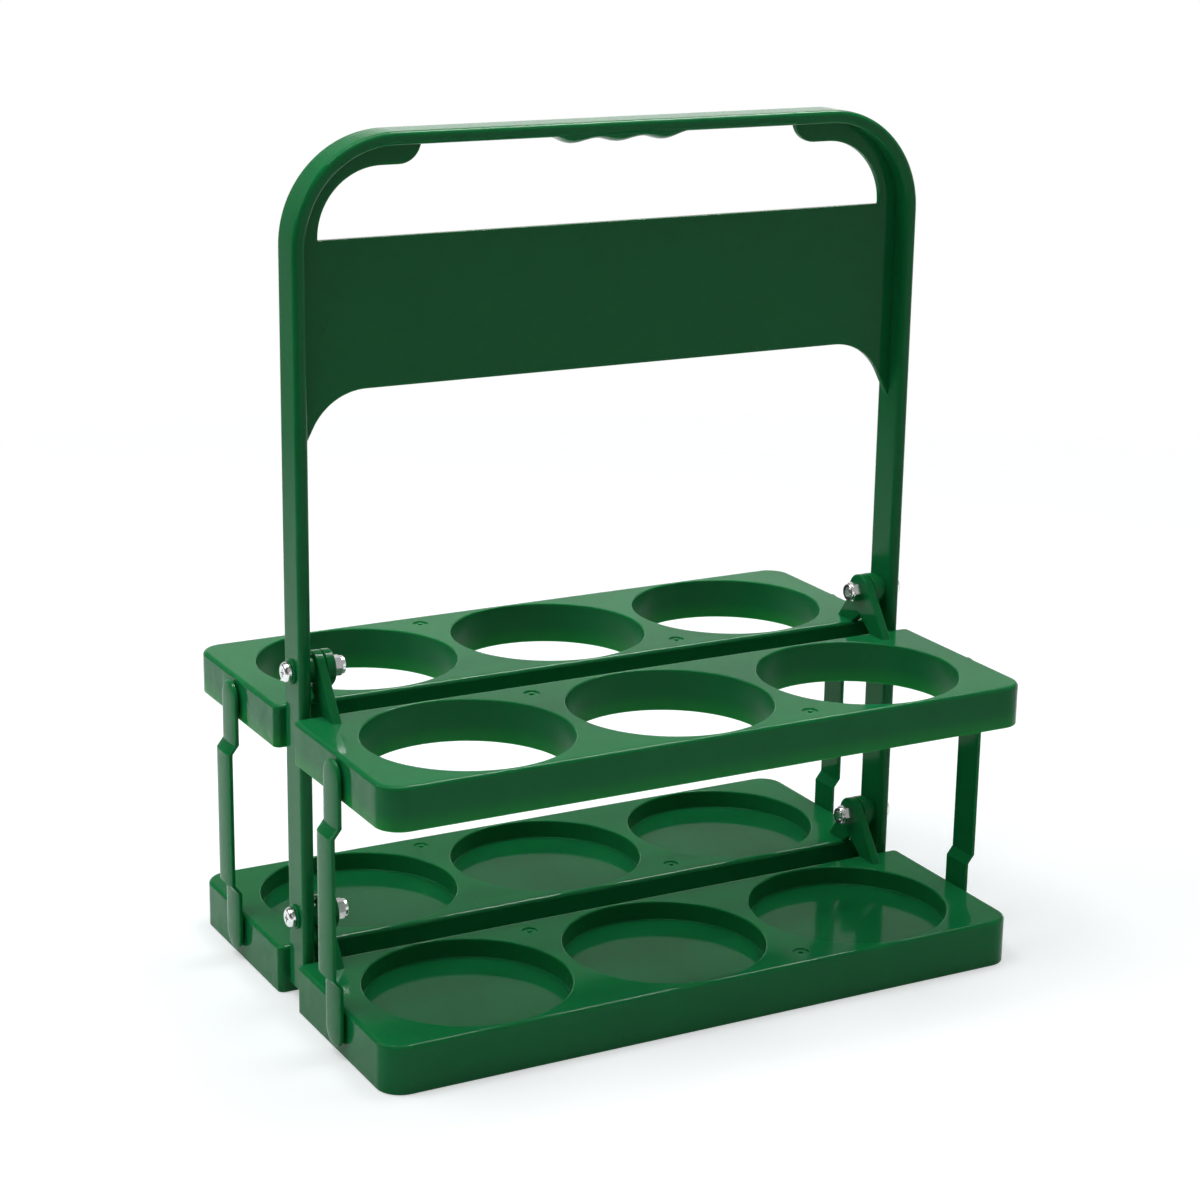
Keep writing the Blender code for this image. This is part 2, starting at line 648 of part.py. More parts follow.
def screw_body():
    """A pan head screw on the right of the object, along X from its tip to its head."""
    shank = BOLT_DIAMETER / 2
    head = SCREW_HEAD_DIAMETER / 2
    face_x = SCREW_HEAD_X + SCREW_HEAD_HEIGHT
    dome = []
    for step in range(CORNER_STEPS + 1):
        turn = math.pi / 2 * step / CORNER_STEPS
        dome.append((SCREW_HEAD_X + SCREW_HEAD_RIM + (SCREW_HEAD_HEIGHT - SCREW_HEAD_RIM) * math.sin(turn),
                     SCREW_HEAD_FACE_RADIUS + (head - SCREW_HEAD_FACE_RADIUS) * math.cos(turn)))
    profile = [(SCREW_TIP_X, shank - SCREW_TIP_CHAMFER), (SCREW_TIP_X + SCREW_TIP_CHAMFER, shank),
               (SCREW_HEAD_X, shank), (SCREW_HEAD_X, head), *dome]
    return boolean(turned(profile, HARDWARE_STEPS), [cross_recess(face_x)], "DIFFERENCE")


def nut_body():
    """A lock nut on the right of the object, its collar pointing inwards."""
    hex_end = NUT_OUTER_X - NUT_HEX_HEIGHT
    collar_end = hex_end - NUT_COLLAR_HEIGHT
    corner = NUT_ACROSS_FLATS / math.sqrt(3)
    body = extruded(arc((0, 0), corner, 0, 300, 5), hex_end, NUT_OUTER_X, "yz")
    spare = 1 * MM
    trim = [(hex_end - spare, corner - 2 * NUT_CHAMFER), (hex_end, corner - NUT_CHAMFER),
            (hex_end + NUT_CHAMFER, corner + spare), (NUT_OUTER_X - NUT_CHAMFER, corner + spare),
            (NUT_OUTER_X, corner - NUT_CHAMFER), (NUT_OUTER_X + spare, corner - 2 * NUT_CHAMFER)]
    body = boolean(body, [turned(trim, 2 * HARDWARE_STEPS)], "INTERSECT")
    collar_root = (hex_end + NUT_OUTER_X) / 2
    collar = [(collar_end, NUT_COLLAR_RADIUS - NUT_CHAMFER / 2),
              (collar_end + NUT_CHAMFER / 2, NUT_COLLAR_RADIUS), (collar_root, NUT_COLLAR_RADIUS)]
    body = boolean(body, [turned(collar, HARDWARE_STEPS)], "UNION")
    bore = BOLT_HOLE_DIAMETER / 2
    seat_end = collar_end + NYLON_SEAT_DEPTH
    hollow = [(collar_end - spare, NYLON_SEAT_RADIUS), (seat_end, NYLON_SEAT_RADIUS), (seat_end, bore),
              (NUT_OUTER_X + spare, bore)]
    return boolean(body, [turned(hollow, HARDWARE_STEPS)], "DIFFERENCE")


def nylon_body():
    """The nylon ring that grips the screw, inside the nut's collar."""
    low = NUT_OUTER_X - NUT_HEX_HEIGHT - NUT_COLLAR_HEIGHT + NYLON_RECESS
    high = low + NYLON_LENGTH
    profile = [(low, NYLON_INNER_RADIUS), (low, NYLON_OUTER_RADIUS), (high, NYLON_OUTER_RADIUS),
               (high, NYLON_INNER_RADIUS)]
    return turned(profile, HARDWARE_STEPS, closed=True)


def add_trays(green):
    """Two trays at each level, the rear one turned half round from the front one."""
    levels = (("upper", UPPER_BOLT_Z, UPPER_TRAY_HEIGHT, None),
              ("lower", LOWER_BOLT_Z, LOWER_TRAY_HEIGHT, RECESS_FLOOR_TOP))
    for level, bolt_z, height, floor in levels:
        mesh = finished_mesh(f"{level}_tray", tray_body(height, floor), green)
        placed(f"{level}_front_tray", mesh, (0, 0, bolt_z))
        placed(f"{level}_rear_tray", mesh, (0, 0, bolt_z), half_turn=True)


def add_links(green):
    """Four alike links, each with its origin on its upper pivot."""
    mesh = finished_mesh("link", link_body(), green)
    pivot_z = UPPER_BOLT_Z - BOLT_DROP - LINK_PIVOT_DROP
    for row, y in (("front", -LINK_Y), ("rear", LINK_Y)):
        placed(f"link_{row}_right", mesh, (TRAY_HALF_LENGTH, y, pivot_z))
        placed(f"link_{row}_left", mesh, (-TRAY_HALF_LENGTH, y, pivot_z), half_turn=True)


def add_hardware(steel, nylon):
    """A screw, a lock nut and its nylon ring at each of the four hinge points."""
    meshes = (("screw", finished_mesh("screw", screw_body(), steel)),
              ("nut", finished_mesh("nut", nut_body(), steel)),
              ("nylon_ring", finished_mesh("nylon_ring", nylon_body(), nylon)))
    for level, bolt_z in (("upper", UPPER_BOLT_Z), ("lower", LOWER_BOLT_Z)):
        for piece, mesh in meshes:
            placed(f"{piece}_{level}_right", mesh, (0, 0, bolt_z))
            placed(f"{piece}_{level}_left", mesh, (0, 0, bolt_z), half_turn=True)


def build():
    """Make the whole object."""
    remove_everything()
    green = plastic("green_plastic", (0.012, 0.085, 0.028), 0.12)
    steel = plated_steel("zinc_plated_steel", (0.62, 0.62, 0.60), 0.32)
    nylon = plastic("dark_nylon", (0.012, 0.016, 0.035), 0.4)
    placed("handle_frame", finished_mesh("handle_frame", frame_body(), green), (0, 0, 0))
    add_trays(green)
    add_links(green)
    add_hardware(steel, nylon)


build()
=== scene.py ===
# %% [markdown]
# # A foldable drink carrier in green moulded plastic
#
# The real object is nine plastic mouldings on four bolts with lock nuts. A tall
# carrying frame stands in the middle, and two pairs of trays hinge on its legs.
# The upper trays are open rings that hold a bottle upright, and the lower trays
# have shallow round recesses for its base. Four links keep each upper tray
# level with the lower one, so that both fold up together.
#
# The solids come from the CAD model, which is loaded first and never changed.
# This script makes a finer copy of each moulding, with every edge rounded as a
# mould leaves it, and gives all of them their finish.

# %% Load the CAD model
import json
import math

import bmesh
import bpy
from mathutils import Matrix, Vector


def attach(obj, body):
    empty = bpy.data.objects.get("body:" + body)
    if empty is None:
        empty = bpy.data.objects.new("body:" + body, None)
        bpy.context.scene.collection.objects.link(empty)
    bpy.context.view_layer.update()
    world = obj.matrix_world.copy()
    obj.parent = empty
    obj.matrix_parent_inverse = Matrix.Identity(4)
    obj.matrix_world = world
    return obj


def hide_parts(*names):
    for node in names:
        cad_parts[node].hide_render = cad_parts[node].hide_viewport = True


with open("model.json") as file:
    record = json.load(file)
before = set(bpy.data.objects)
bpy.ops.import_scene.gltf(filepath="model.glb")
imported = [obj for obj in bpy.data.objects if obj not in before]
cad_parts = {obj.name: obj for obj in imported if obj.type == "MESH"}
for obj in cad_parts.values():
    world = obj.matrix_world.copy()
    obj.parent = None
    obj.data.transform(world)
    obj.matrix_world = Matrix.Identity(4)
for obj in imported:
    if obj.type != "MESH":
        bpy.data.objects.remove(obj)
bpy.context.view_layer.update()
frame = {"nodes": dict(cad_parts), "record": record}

MM = 0.001

# %% [markdown]
# ## Colours, nodes and objects
#
# A colour picker gives sRGB values, which are bent to suit the eye, while
# Blender mixes light in linear values. One function does the change, so every
# colour below is the hex value that a person would pick. A second one adds a
# shader node with its settings and links. Each node could be written out by
# hand, but a material of twenty nodes is easier to follow when each is one
# statement. Two more start a material and an object.

# %% Helpers
def linear(code):
    """An sRGB hex colour as linear red, green, blue and alpha."""
    values = [int(code[place:place + 2], 16) / 255 for place in (1, 3, 5)]
    bent = [value / 12.92 if value <= 0.04045 else ((value + 0.055) / 1.055) ** 2.4 for value in values]
    return (*bent, 1.0)


def add_node(tree, kind, settings=None, links=None):
    """Add a node, fill in its fields and sockets, and link inputs to sockets or first outputs."""
    made = tree.nodes.new("ShaderNode" + kind)
    for name, value in (settings or {}).items():
        if isinstance(name, int) or name in made.inputs:
            made.inputs[name].default_value = value
        else:
            setattr(made, name, value)
    for name, source in (links or {}).items():
        socket = source.outputs[0] if isinstance(source, bpy.types.Node) else source
        tree.links.new(socket, made.inputs[name])
    return made


def new_material(name):
    """An empty material, its node tree and each point's place in the object's own space."""
    material = bpy.data.materials.new(name)
    material.use_nodes = True
    tree = material.node_tree
    tree.nodes.clear()
    return material, tree, add_node(tree, "TexCoord").outputs["Object"]


def new_object(name, data):
    """An object in the scene that holds a mesh, a lamp or a camera."""
    made = bpy.data.objects.new(name, data)
    bpy.context.scene.collection.objects.link(made)
    return made


WHITE = linear("#FFFFFF")
print("white is", WHITE[:3])

# %% [markdown]
# ## Camera
#
# The photograph was taken from the left and a little above. The camera's place
# follows from the picture itself: the round holes, the straight edges and the
# legs were matched to the CAD model, and only one place and one focal length
# make them all fall in line. A constraint could aim the camera at the object,
# but a heading, a tilt and a small roll can be read and changed by hand. The
# lens is in millimetres, for Blender's usual 36 mm sensor. What the camera sees
# begins 5 cm in front of it and ends at 50 m, so that close views work as well.

# %% Camera
CAMERA_PLACE = Vector((-572.6, -1045.0, 513.1)) * MM
CAMERA_HEADING = math.radians(-28.562)
CAMERA_TILT = math.radians(16.377)
CAMERA_ROLL = math.radians(-0.916)
CAMERA_LENS = 83.81
NEAREST_SEEN = 0.05
FARTHEST_SEEN = 50

level_right = Vector((math.cos(CAMERA_HEADING), math.sin(CAMERA_HEADING), 0))
forward = Vector((-math.sin(CAMERA_HEADING) * math.cos(CAMERA_TILT),
                  math.cos(CAMERA_HEADING) * math.cos(CAMERA_TILT), -math.sin(CAMERA_TILT)))
right = Matrix.Rotation(CAMERA_ROLL, 3, forward) @ level_right
camera_data = bpy.data.cameras.new("studio_camera")
camera_data.lens = CAMERA_LENS
camera_data.clip_start = NEAREST_SEEN
camera_data.clip_end = FARTHEST_SEEN
camera = new_object("studio_camera", camera_data)
camera.matrix_world = Matrix.Translation(CAMERA_PLACE) @ Matrix(
    (right, right.cross(forward), -forward)).transposed().to_4x4()
bpy.context.scene.camera = camera
bpy.context.scene.view_settings.view_transform = "Standard"
print("camera", round(CAMERA_PLACE.length / MM), "mm from the origin")

# %% [markdown]
# ## Pale table
#
# A product studio is mostly white, and plastic this glossy shows what stands
# round it. The table has matt pale paint. A camera exposes such a table to
# almost white, so camera and mirror rays see it with a steady glow on top. The
# object gets only the light that the paint throws back, and keeps its shadow.
# Towards its rim the table turns clear, because a hard rim would show.

# %% Table paint
FLOOR_FADE_START = 0.5
FLOOR_FADE_END = 1.176
FLOOR_LIFT = 0.42
MOTTLE_LENGTH = 25 * MM
PAINT_TONES = ("#DEE2E4", "#E2E6E8")

pale_table, tree, place = new_material("pale_painted_table")
rays = add_node(tree, "LightPath").outputs
seen = add_node(tree, "Math", {"operation": "MAXIMUM"},
                {0: rays["Is Camera Ray"], 1: rays["Is Glossy Ray"]})
seen_through = add_node(tree, "Math", {"operation": "MAXIMUM"},
                        {0: seen, 1: rays["Is Transmission Ray"]})
mottle = add_node(tree, "TexNoise", {"Scale": 1 / MOTTLE_LENGTH, "Detail": 3.0}, {"Vector": place})
paint = add_node(tree, "MixRGB", {"Color1": linear(PAINT_TONES[0]), "Color2": linear(PAINT_TONES[1])},
                 {"Fac": mottle})
matt = add_node(tree, "BsdfDiffuse", {"Roughness": 0.6}, {"Color": paint})
lift_level = add_node(tree, "Math", {"operation": "MULTIPLY", 1: FLOOR_LIFT}, {0: seen_through})
lift = add_node(tree, "Emission", {"Color": WHITE}, {"Strength": lift_level})
lifted = add_node(tree, "AddShader", None, {0: matt, 1: lift})
reach = add_node(tree, "VectorMath", {"operation": "LENGTH"}, {0: place})
fade = add_node(tree, "MapRange", {"From Min": FLOOR_FADE_START, "From Max": FLOOR_FADE_END},
                {"Value": reach.outputs["Value"]})
clear = add_node(tree, "BsdfTransparent")
blended = add_node(tree, "MixShader", None, {0: fade, 1: lifted, 2: clear})
add_node(tree, "OutputMaterial", None, {"Surface": blended})

# %% Table top
FLOOR_RADIUS = 1.2
FLOOR_SIDES = 96
FLOOR_DROP = 0.2 * MM

table_shape = bmesh.new()
bmesh.ops.create_circle(table_shape, cap_ends=True, segments=FLOOR_SIDES, radius=FLOOR_RADIUS)
bmesh.ops.translate(table_shape, verts=table_shape.verts, vec=(0, 0, -FLOOR_DROP))
table_mesh = bpy.data.meshes.new("studio_floor")
table_shape.to_mesh(table_mesh)
table_shape.free()
table_mesh.materials.append(pale_table)
studio_floor = new_object("studio_floor", table_mesh)
print("table", 2 * FLOOR_RADIUS, "m across")

# %% [markdown]
# ## Surroundings
#
# Beyond the table the camera sees plain white, and dull surfaces get a low and
# even level of light. Mirrored rays see the room instead: a bright stripe above
# the horizon, a darker wall over it, and less light to the left, which glossy
# faces show as soft bands. An environment picture could do the same, but
# gradients are easier to tune, and the script stays alone. They go by a ray's
# direction: Z is 0 level and 1 straight up, and X is below 0 to the left.

# %% World
AMBIENT_LEVEL = 0.15
HORIZON_LEVEL = 0.77
HORIZON_GLOW = 0.36
GLOW_START = 0.06
WALL_LEVEL = 0.42
WALL_START = 0.305
WALL_FULL = 0.36
LEFT_LEVEL = 0.12
LEFT_FULL = -0.5
LEFT_END = 0.1

world = bpy.data.worlds.new("studio")
world.use_nodes = True
tree = world.node_tree
tree.nodes.clear()
rays = add_node(tree, "LightPath").outputs
mirrored = add_node(tree, "Math", {"operation": "MAXIMUM"},
                    {0: rays["Is Glossy Ray"], 1: rays["Is Transmission Ray"]})
direction = add_node(tree, "TexCoord").outputs["Generated"]
towards = add_node(tree, "SeparateXYZ", None, {0: direction}).outputs
above = add_node(tree, "MapRange", {
    "From Min": WALL_START, "From Max": WALL_FULL, "To Min": HORIZON_LEVEL, "To Max": WALL_LEVEL,
}, {"Value": towards["Z"]})
near_horizon = add_node(tree, "MapRange", {
    "From Min": GLOW_START, "From Max": WALL_START, "To Min": HORIZON_GLOW, "To Max": 0.0,
}, {"Value": towards["Z"]})
to_the_left = add_node(tree, "MapRange", {
    "From Min": LEFT_FULL, "From Max": LEFT_END, "To Min": LEFT_LEVEL, "To Max": 1.0,
}, {"Value": towards["X"]})
backdrop = add_node(tree, "Math", {"operation": "ADD"}, {0: above, 1: near_horizon})
around = add_node(tree, "Math", {"operation": "MULTIPLY"}, {0: backdrop, 1: to_the_left})
ambient = add_node(tree, "Background", {"Color": linear("#FBFCFF"), "Strength": AMBIENT_LEVEL})
room = add_node(tree, "Background", {"Color": WHITE}, {"Strength": around})
white = add_node(tree, "Background", {"Color": WHITE, "Strength": 1.0})
lit = add_node(tree, "MixShader", None, {0: mirrored, 1: ambient, 2: room})
shown = add_node(tree, "MixShader", None, {0: rays["Is Camera Ray"], 1: lit, 2: white})
add_node(tree, "OutputWorld", None, {"Surface": shown})
bpy.context.scene.world = world
print("mirrored horizon", HORIZON_LEVEL + HORIZON_GLOW, "and wall", WALL_LEVEL)

# %% [markdown]
# ## Lamps
#
# Four lamps have wide diffusers, because a bare bulb would mirror as a dot. The
# overhead one lights the decks and makes the soft shadow, and a weak one opens
# up the front faces. The key lamp is seen in mirror images only: it draws the
# light line on rounded edges. The side lamp points down at the table on the
# left, and the trays' end walls mirror that bright spot. A row below gives a
# lamp's name, its place and size in metres, its watts and what it points at.

# %% Lamps
OBJECT_MIDDLE = (0.0, 0.0, 0.15)
TABLE_LEFT = (-1.0, 0.45, 0.0)
MIRRORED_ONLY = ("key_softbox",)
LAMPS = (
    ("overhead_softbox", (0.0, 0.1, 1.7), (1.8, 0.8), 25.0, OBJECT_MIDDLE),
    ("key_softbox", (0.72, 0.4, 1.6), (0.5, 0.8), 25.0, OBJECT_MIDDLE),
    ("front_softbox", (-0.9, -1.5, 1.25), (0.7, 0.7), 1.0, OBJECT_MIDDLE),
    ("side_softbox", (-1.1, 0.5, 0.75), (0.9, 0.9), 5.6, TABLE_LEFT),
)
for lamp_name, lamp_place, lamp_size, watts, target in LAMPS:
    lamp = bpy.data.lights.new(lamp_name, "AREA")
    lamp.shape = "RECTANGLE"
    lamp.size, lamp.size_y = lamp_size
    lamp.energy = watts
    holder = new_object(lamp_name, lamp)
    holder.location = lamp_place
    aim = Vector(target) - holder.location
    holder.rotation_euler = aim.to_track_quat("-Z", "Y").to_euler()
    holder.visible_diffuse = lamp_name not in MIRRORED_ONLY
print("lamps:", [lamp[0] for lamp in LAMPS])

# %% [markdown]
# ## Green polypropylene
#
# The trays, the frame and the links are polypropylene, a cheap tough plastic
# that hinges and snaps well. It was moulded in a steel tool with polished faces,
# so the surface is smooth and glossy. The plastic shrinks unevenly as it cools,
# and straight things mirrored in it look wavy.
#
# Light goes a few millimetres into it, the green further than the red and the
# blue, and subsurface scattering gives the soft shades that follow from that.
# The upper trays' lower edges glow more than that gives, because they are thin,
# so there a lighter green is painted in by height, as a painted glow.
#
# The patterns are noise, sized from the real thing. A picture of real plastic
# could be mapped on instead, but noise needs no unwrapping.

# %% Pigment and painted glow
FLOW_LENGTH = 45 * MM
# The glow green, mixed in over the glow reach, is a painted glow of the thin edges.
PAINTED_GLOW_REACH = 9 * MM
PAINTED_GLOW_GREEN = "#1A8C3E"


def green_with_painted_glow(tree, place, height, glow_edge_z, base_greens):
    """Two greens mixed as the plastic flowed, and a painted glow of lighter green near a thin rim."""
    flow = add_node(tree, "TexNoise", {"Scale": 1 / FLOW_LENGTH, "Detail": 4.0, "Distortion": 1.2},
                    {"Vector": place})
    pigment = add_node(tree, "MixRGB", {"Color1": linear(base_greens[0]), "Color2": linear(base_greens[1])},
                       {"Fac": flow})
    # Painted glow: a lighter green mixed in near the thin lower edge.
    painted_glow_mask = add_node(tree, "MapRange", {
        "interpolation_type": "SMOOTHSTEP", "From Min": glow_edge_z, "From Max": glow_edge_z + PAINTED_GLOW_REACH,
        "To Min": 1.0, "To Max": 0.0,
    }, {"Value": height})
    return add_node(tree, "MixRGB", {"Color2": linear(PAINTED_GLOW_GREEN)}, {"Fac": painted_glow_mask, "Color1": pigment})


# %% [markdown]
# ### Traces of handling
#
# Hands leave dull patches a few centimetres wide, and use leaves hair-fine
# scratches. Real ones are about 0.05 mm wide, too fine to show here, so they
# are drawn at 0.5 mm. Both change the roughness and not the colour. The noise
# for the scratches is drawn out along one slanting direction.

# %% Handling
PATCH_LENGTH = 22 * MM
PATCH_HAZE = 0.05
SCRATCH_WIDTH = 0.5 * MM
SCRATCH_STRETCH = (0.06, 1.0, 1.0)
SCRATCH_SLANT = (0.3, 0.2, 0.5)
SCRATCH_HAZE = 0.10


def handled_roughness(tree, place, gloss):
    """A roughness with dull patches and scratches added to it."""
    patches = add_node(tree, "TexNoise", {"Scale": 1 / PATCH_LENGTH, "Detail": 5.0}, {"Vector": place})
    haze = add_node(tree, "MapRange", {
        "From Min": 0.35, "From Max": 0.75, "To Min": gloss, "To Max": gloss + PATCH_HAZE,
    }, {"Value": patches})
    drawn = add_node(tree, "Mapping", {"Scale": SCRATCH_STRETCH, "Rotation": SCRATCH_SLANT},
                     {"Vector": place})
    hairs = add_node(tree, "TexNoise", {"Scale": 1 / SCRATCH_WIDTH, "Detail": 2.0}, {"Vector": drawn})
    scratches = add_node(tree, "MapRange", {
        "From Min": 0.66, "From Max": 0.74, "To Max": SCRATCH_HAZE,
    }, {"Value": hairs})
    return add_node(tree, "Math", {"operation": "ADD"}, {0: haze, 1: scratches})


# %% [markdown]
# ### Waves in the surface
#
# The long waves of shrinkage are some 34 mm long and 0.05 mm high. On top of
# them lies a faint orange peel with bumps 1.6 mm wide. The end walls of the
# trays have ribs and link pivots behind them, and sink in shorter and deeper
# waves. The three are bump, one fed into the next: cut into the mesh, they would
# take far more faces, and show no better.

# %% Waves
WAVE_LENGTH = 34 * MM
WAVE_HEIGHT = 0.05 * MM
PEEL_LENGTH = 1.6 * MM
PEEL_HEIGHT = 0.0006 * MM
END_WAVE_LENGTH = 11 * MM
END_WALL_X = (154.4 * MM, 154.9 * MM)


def wavy_normal(tree, place, side, end_wave_height):
    """Waves everywhere, peel on them, and deeper waves on the end walls."""
    shrinkage = add_node(tree, "TexNoise", {"Scale": 1 / WAVE_LENGTH, "Detail": 1.0}, {"Vector": place})
    waves = add_node(tree, "Bump", {"Distance": WAVE_HEIGHT}, {"Height": shrinkage})
    peel = add_node(tree, "TexNoise", {"Scale": 1 / PEEL_LENGTH, "Detail": 1.0}, {"Vector": place})
    skin = add_node(tree, "Bump", {"Distance": PEEL_HEIGHT},
                    {"Height": peel, "Normal": waves})
    from_middle = add_node(tree, "Math", {"operation": "ABSOLUTE"}, {0: side})
    at_ends = add_node(tree, "MapRange", {"From Min": END_WALL_X[0], "From Max": END_WALL_X[1]},
                       {"Value": from_middle})
    dents = add_node(tree, "TexNoise", {"Scale": 1 / END_WAVE_LENGTH, "Detail": 2.0}, {"Vector": place})
    sinks = add_node(tree, "Math", {"operation": "MULTIPLY"}, {0: dents, 1: at_ends})
    return add_node(tree, "Bump", {"Distance": end_wave_height},
                    {"Height": sinks, "Normal": skin})


# %% [markdown]
# ### The finishes of the plastic
#
# One function makes every finish. An index of 1.49 and a roughness of 0.07 are
# usual for polished polypropylene. The mirror level starts from 0.5, Blender's
# value for a clean surface, and was matched at 0.09: a worn, pigmented skin
# mirrors less. The walls of the holes are satin, and the recess floors mirror
# more and get a darker green, which is painted shade. The upper trays get a
# painted glow above their lower edges, which hang 113.7 mm over the table. The
# other finishes put that edge a metre under it, where nothing is. Each piece is
# made where it stands at rest, so such a height stays right when the piece moves.

# %% Polypropylene
POLISHED = 0.07
SATIN = 0.3
MOULDED_MIRROR = 0.09
FLOOR_MIRROR = 0.16
BODY_PIGMENTS = ("#167942", "#12703D")
# The recess floors' darker greens are painted shade of the recesses.
FLOOR_GREENS_PAINTED_SHADE = ("#136D3B", "#0F6536")
END_WAVE_HEIGHT = 0.35 * MM
UPPER_RIM_Z = 113.7 * MM
NO_PAINTED_GLOW = -1.0
LIGHT_DEPTH = 3.5 * MM
LIGHT_REACH = (0.2, 1.0, 0.35)


def polypropylene(name, gloss=POLISHED, mirror=MOULDED_MIRROR, end_wave_height=0.0,
                  glow_edge_z=NO_PAINTED_GLOW, base_greens=BODY_PIGMENTS):
    """A finish of the green plastic."""
    material, tree, place = new_material(name)
    parts = add_node(tree, "SeparateXYZ", None, {0: place}).outputs
    shader = add_node(tree, "BsdfPrincipled", {
        "IOR": 1.49, "Metallic": 0.0, "Specular IOR Level": mirror,
        "Subsurface Weight": 0.8, "Subsurface Radius": LIGHT_REACH, "Subsurface Scale": LIGHT_DEPTH,
    }, {
        "Base Color": green_with_painted_glow(tree, place, parts["Z"], glow_edge_z, base_greens),
        "Roughness": handled_roughness(tree, place, gloss),
        "Normal": wavy_normal(tree, place, parts["X"], end_wave_height),
    })
    add_node(tree, "OutputMaterial", None, {"Surface": shader})
    return material


green_plastic = polypropylene("green_moulded_polypropylene")
green_tray_plastic = polypropylene("green_tray_polypropylene", end_wave_height=END_WAVE_HEIGHT)
# The upper trays' two finishes carry the painted glow of their thin lower edges.
green_painted_glow_plastic = polypropylene("green_polypropylene_painted_glow", end_wave_height=END_WAVE_HEIGHT,
                                  glow_edge_z=UPPER_RIM_Z)
green_bore_plastic = polypropylene("green_satin_polypropylene", SATIN)
green_satin_painted_glow_plastic = polypropylene("green_satin_polypropylene_painted_glow", SATIN, glow_edge_z=UPPER_RIM_Z)
# The recess floors' finish has painted shade in its darker greens.
green_floor_painted_shade_plastic = polypropylene("green_floor_polypropylene_painted_shade", mirror=FLOOR_MIRROR,
                                    base_greens=FLOOR_GREENS_PAINTED_SHADE)
print("nodes in the plastic:", len(green_plastic.node_tree.nodes))

# %% [markdown]
# ## Zinc plated steel and nylon
#
# The bolts and nuts are cold formed steel with a thin bright zinc coat. Zinc
# settles in tiny crystals, so its mirror is broken: some spots are clearer than
# others. The nut grips its bolt with a ring of dark nylon, which is waxy rather
# than glossy. The crystals are about 0.1 mm, too fine to show here, so they are
# drawn at 0.6 mm.

# %% Zinc and nylon
CRYSTAL_SIZE = 0.6 * MM
CRYSTAL_HEIGHT = 0.0008 * MM
WAX_LENGTH = 1.5 * MM

zinc_plate, tree, place = new_material("zinc_plated_steel")
crystals = add_node(tree, "TexVoronoi", {"Scale": 1 / CRYSTAL_SIZE}, {"Vector": place}).outputs
tone = add_node(tree, "MixRGB", {"Color1": linear("#DADCDE"), "Color2": linear("#F4F3F0")},
                {"Fac": crystals["Color"]})
clearness = add_node(tree, "MapRange", {"To Min": 0.12, "To Max": 0.26}, {"Value": crystals["Distance"]})
facets = add_node(tree, "Bump", {"Strength": 0.6, "Distance": CRYSTAL_HEIGHT},
                  {"Height": crystals["Distance"]})
shader = add_node(tree, "BsdfPrincipled", {"Metallic": 1.0},
                  {"Base Color": tone, "Roughness": clearness, "Normal": facets})
add_node(tree, "OutputMaterial", None, {"Surface": shader})

nylon_ring, tree, place = new_material("dark_nylon")
wax = add_node(tree, "TexNoise", {"Scale": 1 / WAX_LENGTH, "Detail": 2.0}, {"Vector": place})
tone = add_node(tree, "MixRGB", {"Color1": linear("#14182A"), "Color2": linear("#232A40")}, {"Fac": wax})
dullness = add_node(tree, "MapRange", {"To Min": 0.32, "To Max": 0.48}, {"Value": wax})
shader = add_node(tree, "BsdfPrincipled", {"IOR": 1.53, "Metallic": 0.0},
                  {"Base Color": tone, "Roughness": dullness})
add_node(tree, "OutputMaterial", None, {"Surface": shader})

# %% [markdown]
# ## Finishes by name
#
# The record names a finish for each CAD solid. The solids get it here, and the
# moulded copies below look their own up in the same table.

# %% Finishes
FINISHES = {"green_plastic": green_plastic, "zinc_plated_steel": zinc_plate, "dark_nylon": nylon_ring}
for entry in frame["record"]["subparts"]:
    node_mesh = frame["nodes"][entry["node"]].data
    node_mesh.materials.clear()
    node_mesh.materials.append(FINISHES[entry["material_slot"]])
print("finishes:", sorted(FINISHES))

# %% [markdown]
# ## From an outline to a moulding
#
# Every moulding here is a flat outline with thickness, or a profile turned
# round an axis, joined or cut with booleans. That is also how a toolmaker cuts
# the mould: plates, pockets and bores. Sculpting would give softer forms than
# the straight walls that a steel tool leaves. A cutter reaches 1 mm past the
# face that it cuts, so that no two faces coincide.

# %% Outlines
def arc(centre, radius, start, end, steps):
    """Points along an arc from start to end, in degrees, with both ends."""
    points = []
    for step in range(steps + 1):
        turn = math.radians(start + (end - start) * step / steps)
        points.append((centre[0] + radius * math.cos(turn), centre[1] + radius * math.sin(turn)))
    return points


def mirrored_in_x(points):
    """The same points on the other side, in the order that closes an outline."""
    return [(-x, other) for x, other in reversed(points)]


def in_space(plane, first, second, along):
    """A point from its place in a plane and its place along that plane's normal."""
    if plane == "xy":
        return Vector((first, second, along))
    if plane == "xz":
        return Vector((first, along, second))
    return Vector((along, first, second))


# %% Plates and turned shapes
def plate(outline, low, high, plane):
    """A closed body made by pushing a flat outline from low to high."""
    body = bmesh.new()
    face = body.faces.new([body.verts.new(in_space(plane, a, b, low)) for a, b in outline])
    grown = bmesh.ops.extrude_face_region(body, geom=[face])
    moved = [item for item in grown["geom"] if isinstance(item, bmesh.types.BMVert)]
    bmesh.ops.translate(body, verts=moved, vec=in_space(plane, 0, 0, high - low))
    bmesh.ops.recalc_face_normals(body, faces=body.faces)
    return body


